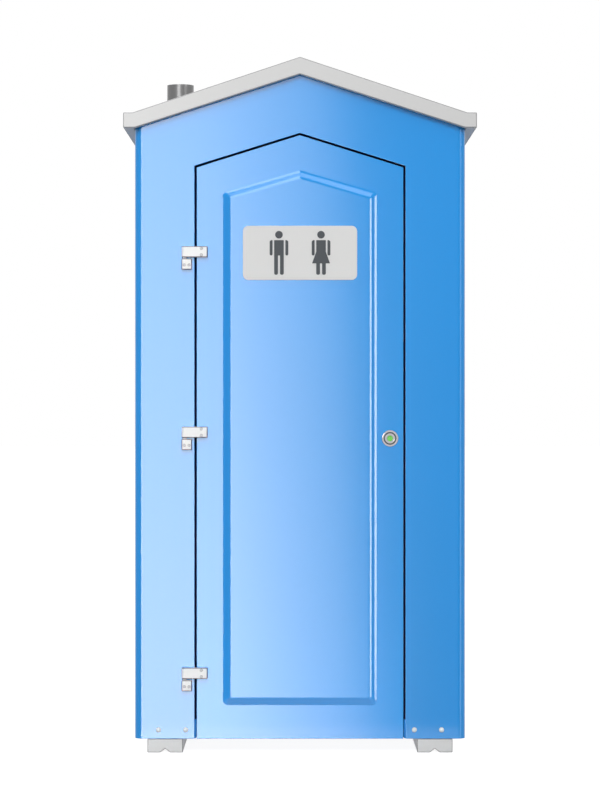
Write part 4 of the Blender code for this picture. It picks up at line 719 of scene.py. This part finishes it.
# Name, place, target, width and height, radiance; gloss boxes are for reflections, soft ones for light
BOXES = (
    ("edge_gloss", around(52, 0, 8), MIDDLE, (3.2, 3.8), 14.0),
    ("crown_gloss", around(35, 63, 8), MIDDLE, (1.6, 1.6), 4.2),
    ("high_gloss", around(-22, 73, 8), MIDDLE, (3.2, 2.2), 4.2),
    ("floor_gloss", (0.0, -0.92, 0.004), (0.0, -0.92, 1.0), (1.6, 0.66), 1.55),
    ("front_soft", around(-4, 30, 9), MIDDLE, (3.0, 3.0), 15.2),
    ("left_soft", around(-125, 15, 9), MIDDLE, (4.0, 4.0), 3.0),
    ("right_soft", around(125, 15, 9), MIDDLE, (4.0, 4.0), 3.2),
    ("back_soft", around(180, 20, 9), MIDDLE, (4.0, 4.0), 3.2),
    ("top_soft", (0.0, 0.0, 7.0), (0.0, 0.0, 1.0), (3.0, 3.0), 1.2),
)
# Materials and nodes that the gloss boxes pass by
BARE = ("plain_steel", "screw_face", "bright_chrome", "clear_plastic")
PASSED = ("roof", "pipe_boot", "back_wall", "left_wall", "right_wall", "left_vent_grille",
          "right_vent_grille", "door_inner_skin", "floor_pan")


def soft_box(name, place, target, size, radiance, turn=0.0):
    """A lamp turned to its target: only for reflections if its name ends in gloss, else for light."""
    lamp = bpy.data.lights.new(name, "AREA")
    lamp.shape = "RECTANGLE"
    lamp.size, lamp.size_y = size
    lamp.energy = radiance * math.pi * size[0] * size[1]
    light = bpy.data.objects.new(name, lamp)
    bpy.context.scene.collection.objects.link(light)
    facing = (Vector(target) - Vector(place)).to_track_quat("-Z", "Y").to_matrix().to_4x4()
    light.matrix_world = Matrix.Translation(place) @ facing @ Matrix.Rotation(turn, 4, "Z")
    gloss = name.endswith("_gloss")
    light.visible_camera = False
    light.visible_diffuse = not gloss
    light.visible_glossy = gloss
    return light


def graded(light, across, up):
    """Grade a box by pairs of place and level: across from its left edge, and up from its lower edge."""
    light.data.use_nodes = True
    tree = light.data.node_tree
    place = tree.nodes.new("ShaderNodeNewGeometry").outputs["Parametric"]
    split = tree.nodes.new("ShaderNodeSeparateXYZ")
    tree.links.new(place, split.inputs[0])
    product = tree.nodes.new("ShaderNodeMath")
    product.operation = "MULTIPLY"
    for axis, pairs, socket in (("X", across, product.inputs[0]), ("Y", up, product.inputs[1])):
        ramp = tree.nodes.new("ShaderNodeValToRGB")
        tree.links.new(split.outputs[axis], ramp.inputs[0])
        colours = ramp.color_ramp.elements
        while len(colours) < len(pairs):
            colours.new(0.5)
        for element, (at, level) in zip(colours, sorted(pairs)):
            element.position = at
            element.color = (level / KEY_BRIGHTEST,) * 3 + (1.0,)
        tree.links.new(ramp.outputs[0], socket)
    whole = tree.nodes.new("ShaderNodeMath")
    whole.operation = "MULTIPLY"
    whole.inputs[1].default_value = KEY_BRIGHTEST ** 2
    tree.links.new(product.outputs[0], whole.inputs[0])
    tree.links.new(whole.outputs[0], tree.nodes["Emission"].inputs["Strength"])


def make_key():
    """The large graded box whose reflection is the bright band on the front."""
    reach = 1 + KEY_DISTANCE / (FRONT_FACE - CAMERA_PLACE[1])  # its size over its reflection's
    width, height = KEY_SIZE
    across = KEY_EDGE - math.tan(KEY_TURN) * KEY_RISE - width / 2 * math.cos(KEY_TURN)
    up = KEY_RISE - width / 2 * math.sin(KEY_TURN)
    place = (across * reach, FRONT_FACE - KEY_DISTANCE, CAMERA_PLACE[2] + up * reach)
    target = (place[0], 0.0, place[2])
    key = soft_box("key_gloss", place, target, (width * reach, height * reach), KEY_RADIANCE, KEY_TURN)
    base = CAMERA_PLACE[2] + KEY_RISE - height / 2
    graded(key, [(1 - at / width, level) for at, level in KEY_ACROSS],
           [((at - base) / height, level) for at, level in KEY_UP])


def share(light, pieces, state):
    """Have a lamp either pass by some pieces or light them alone."""
    collection = bpy.data.collections.new(light.name + "_pieces")
    for piece in pieces:
        collection.objects.link(piece)
    for entry in collection.collection_objects:
        entry.light_linking.link_state = state
    light.light_linking.receiver_collection = collection


def make_lights():
    """The key and the boxes, with the bare and the passed pieces left out of their reflections.

    Four more lamps light single pieces: the metal and the window, the front wall's corners, the roof
    and the foot of the door.
    """
    make_key()
    for box in BOXES:
        soft_box(*box)
    finished = {o.name.removesuffix("_finish"): o
                for o in bpy.data.objects if o.name.endswith("_finish")}
    bare = [o for o in finished.values() if o.data.materials[0].name.split(".")[0] in BARE]
    front, roof, door = finished["front_wall"], finished["roof"], finished["door_outer_skin"]
    passed = bare + [finished[node] for node in PASSED]
    for light in [o for o in bpy.data.objects if o.type == "LIGHT" and o.visible_glossy]:
        share(light, passed + [front] if light.name == "edge_gloss" else passed, "EXCLUDE")
    for pieces, *box in (
            (bare, "metal_gloss", around(-50, 20, 8), MIDDLE, (2.5, 4.0), 2.5),
            ([front], "corner_gloss", around(55, 0, 8), MIDDLE, (2.6, 5.0), 2.4),
            ([roof], "roof_soft", (-1.2, -1.5, 2.6), (-0.5, -0.6, 2.2), (0.5, 0.5), 7.8),
            ([door], "foot_soft", (0.0, -0.95, 0.003), (0.0, -0.95, 1.0), (1.2, 0.6), 0.45)):
        share(soft_box(*box), pieces, "INCLUDE")


def make_camera():
    """The photograph's camera: level, and square to the front."""
    data = bpy.data.cameras.new("camera")
    data.lens = CAMERA_LENS
    camera = bpy.data.objects.new("camera", data)
    bpy.context.scene.collection.objects.link(camera)
    camera.location = CAMERA_PLACE
    camera.rotation_euler = (math.radians(90), 0.0, 0.0)
    bpy.context.scene.camera = camera


make_world()
make_floor()
make_lights()
make_camera()
bpy.context.scene.view_settings.view_transform = "Standard"
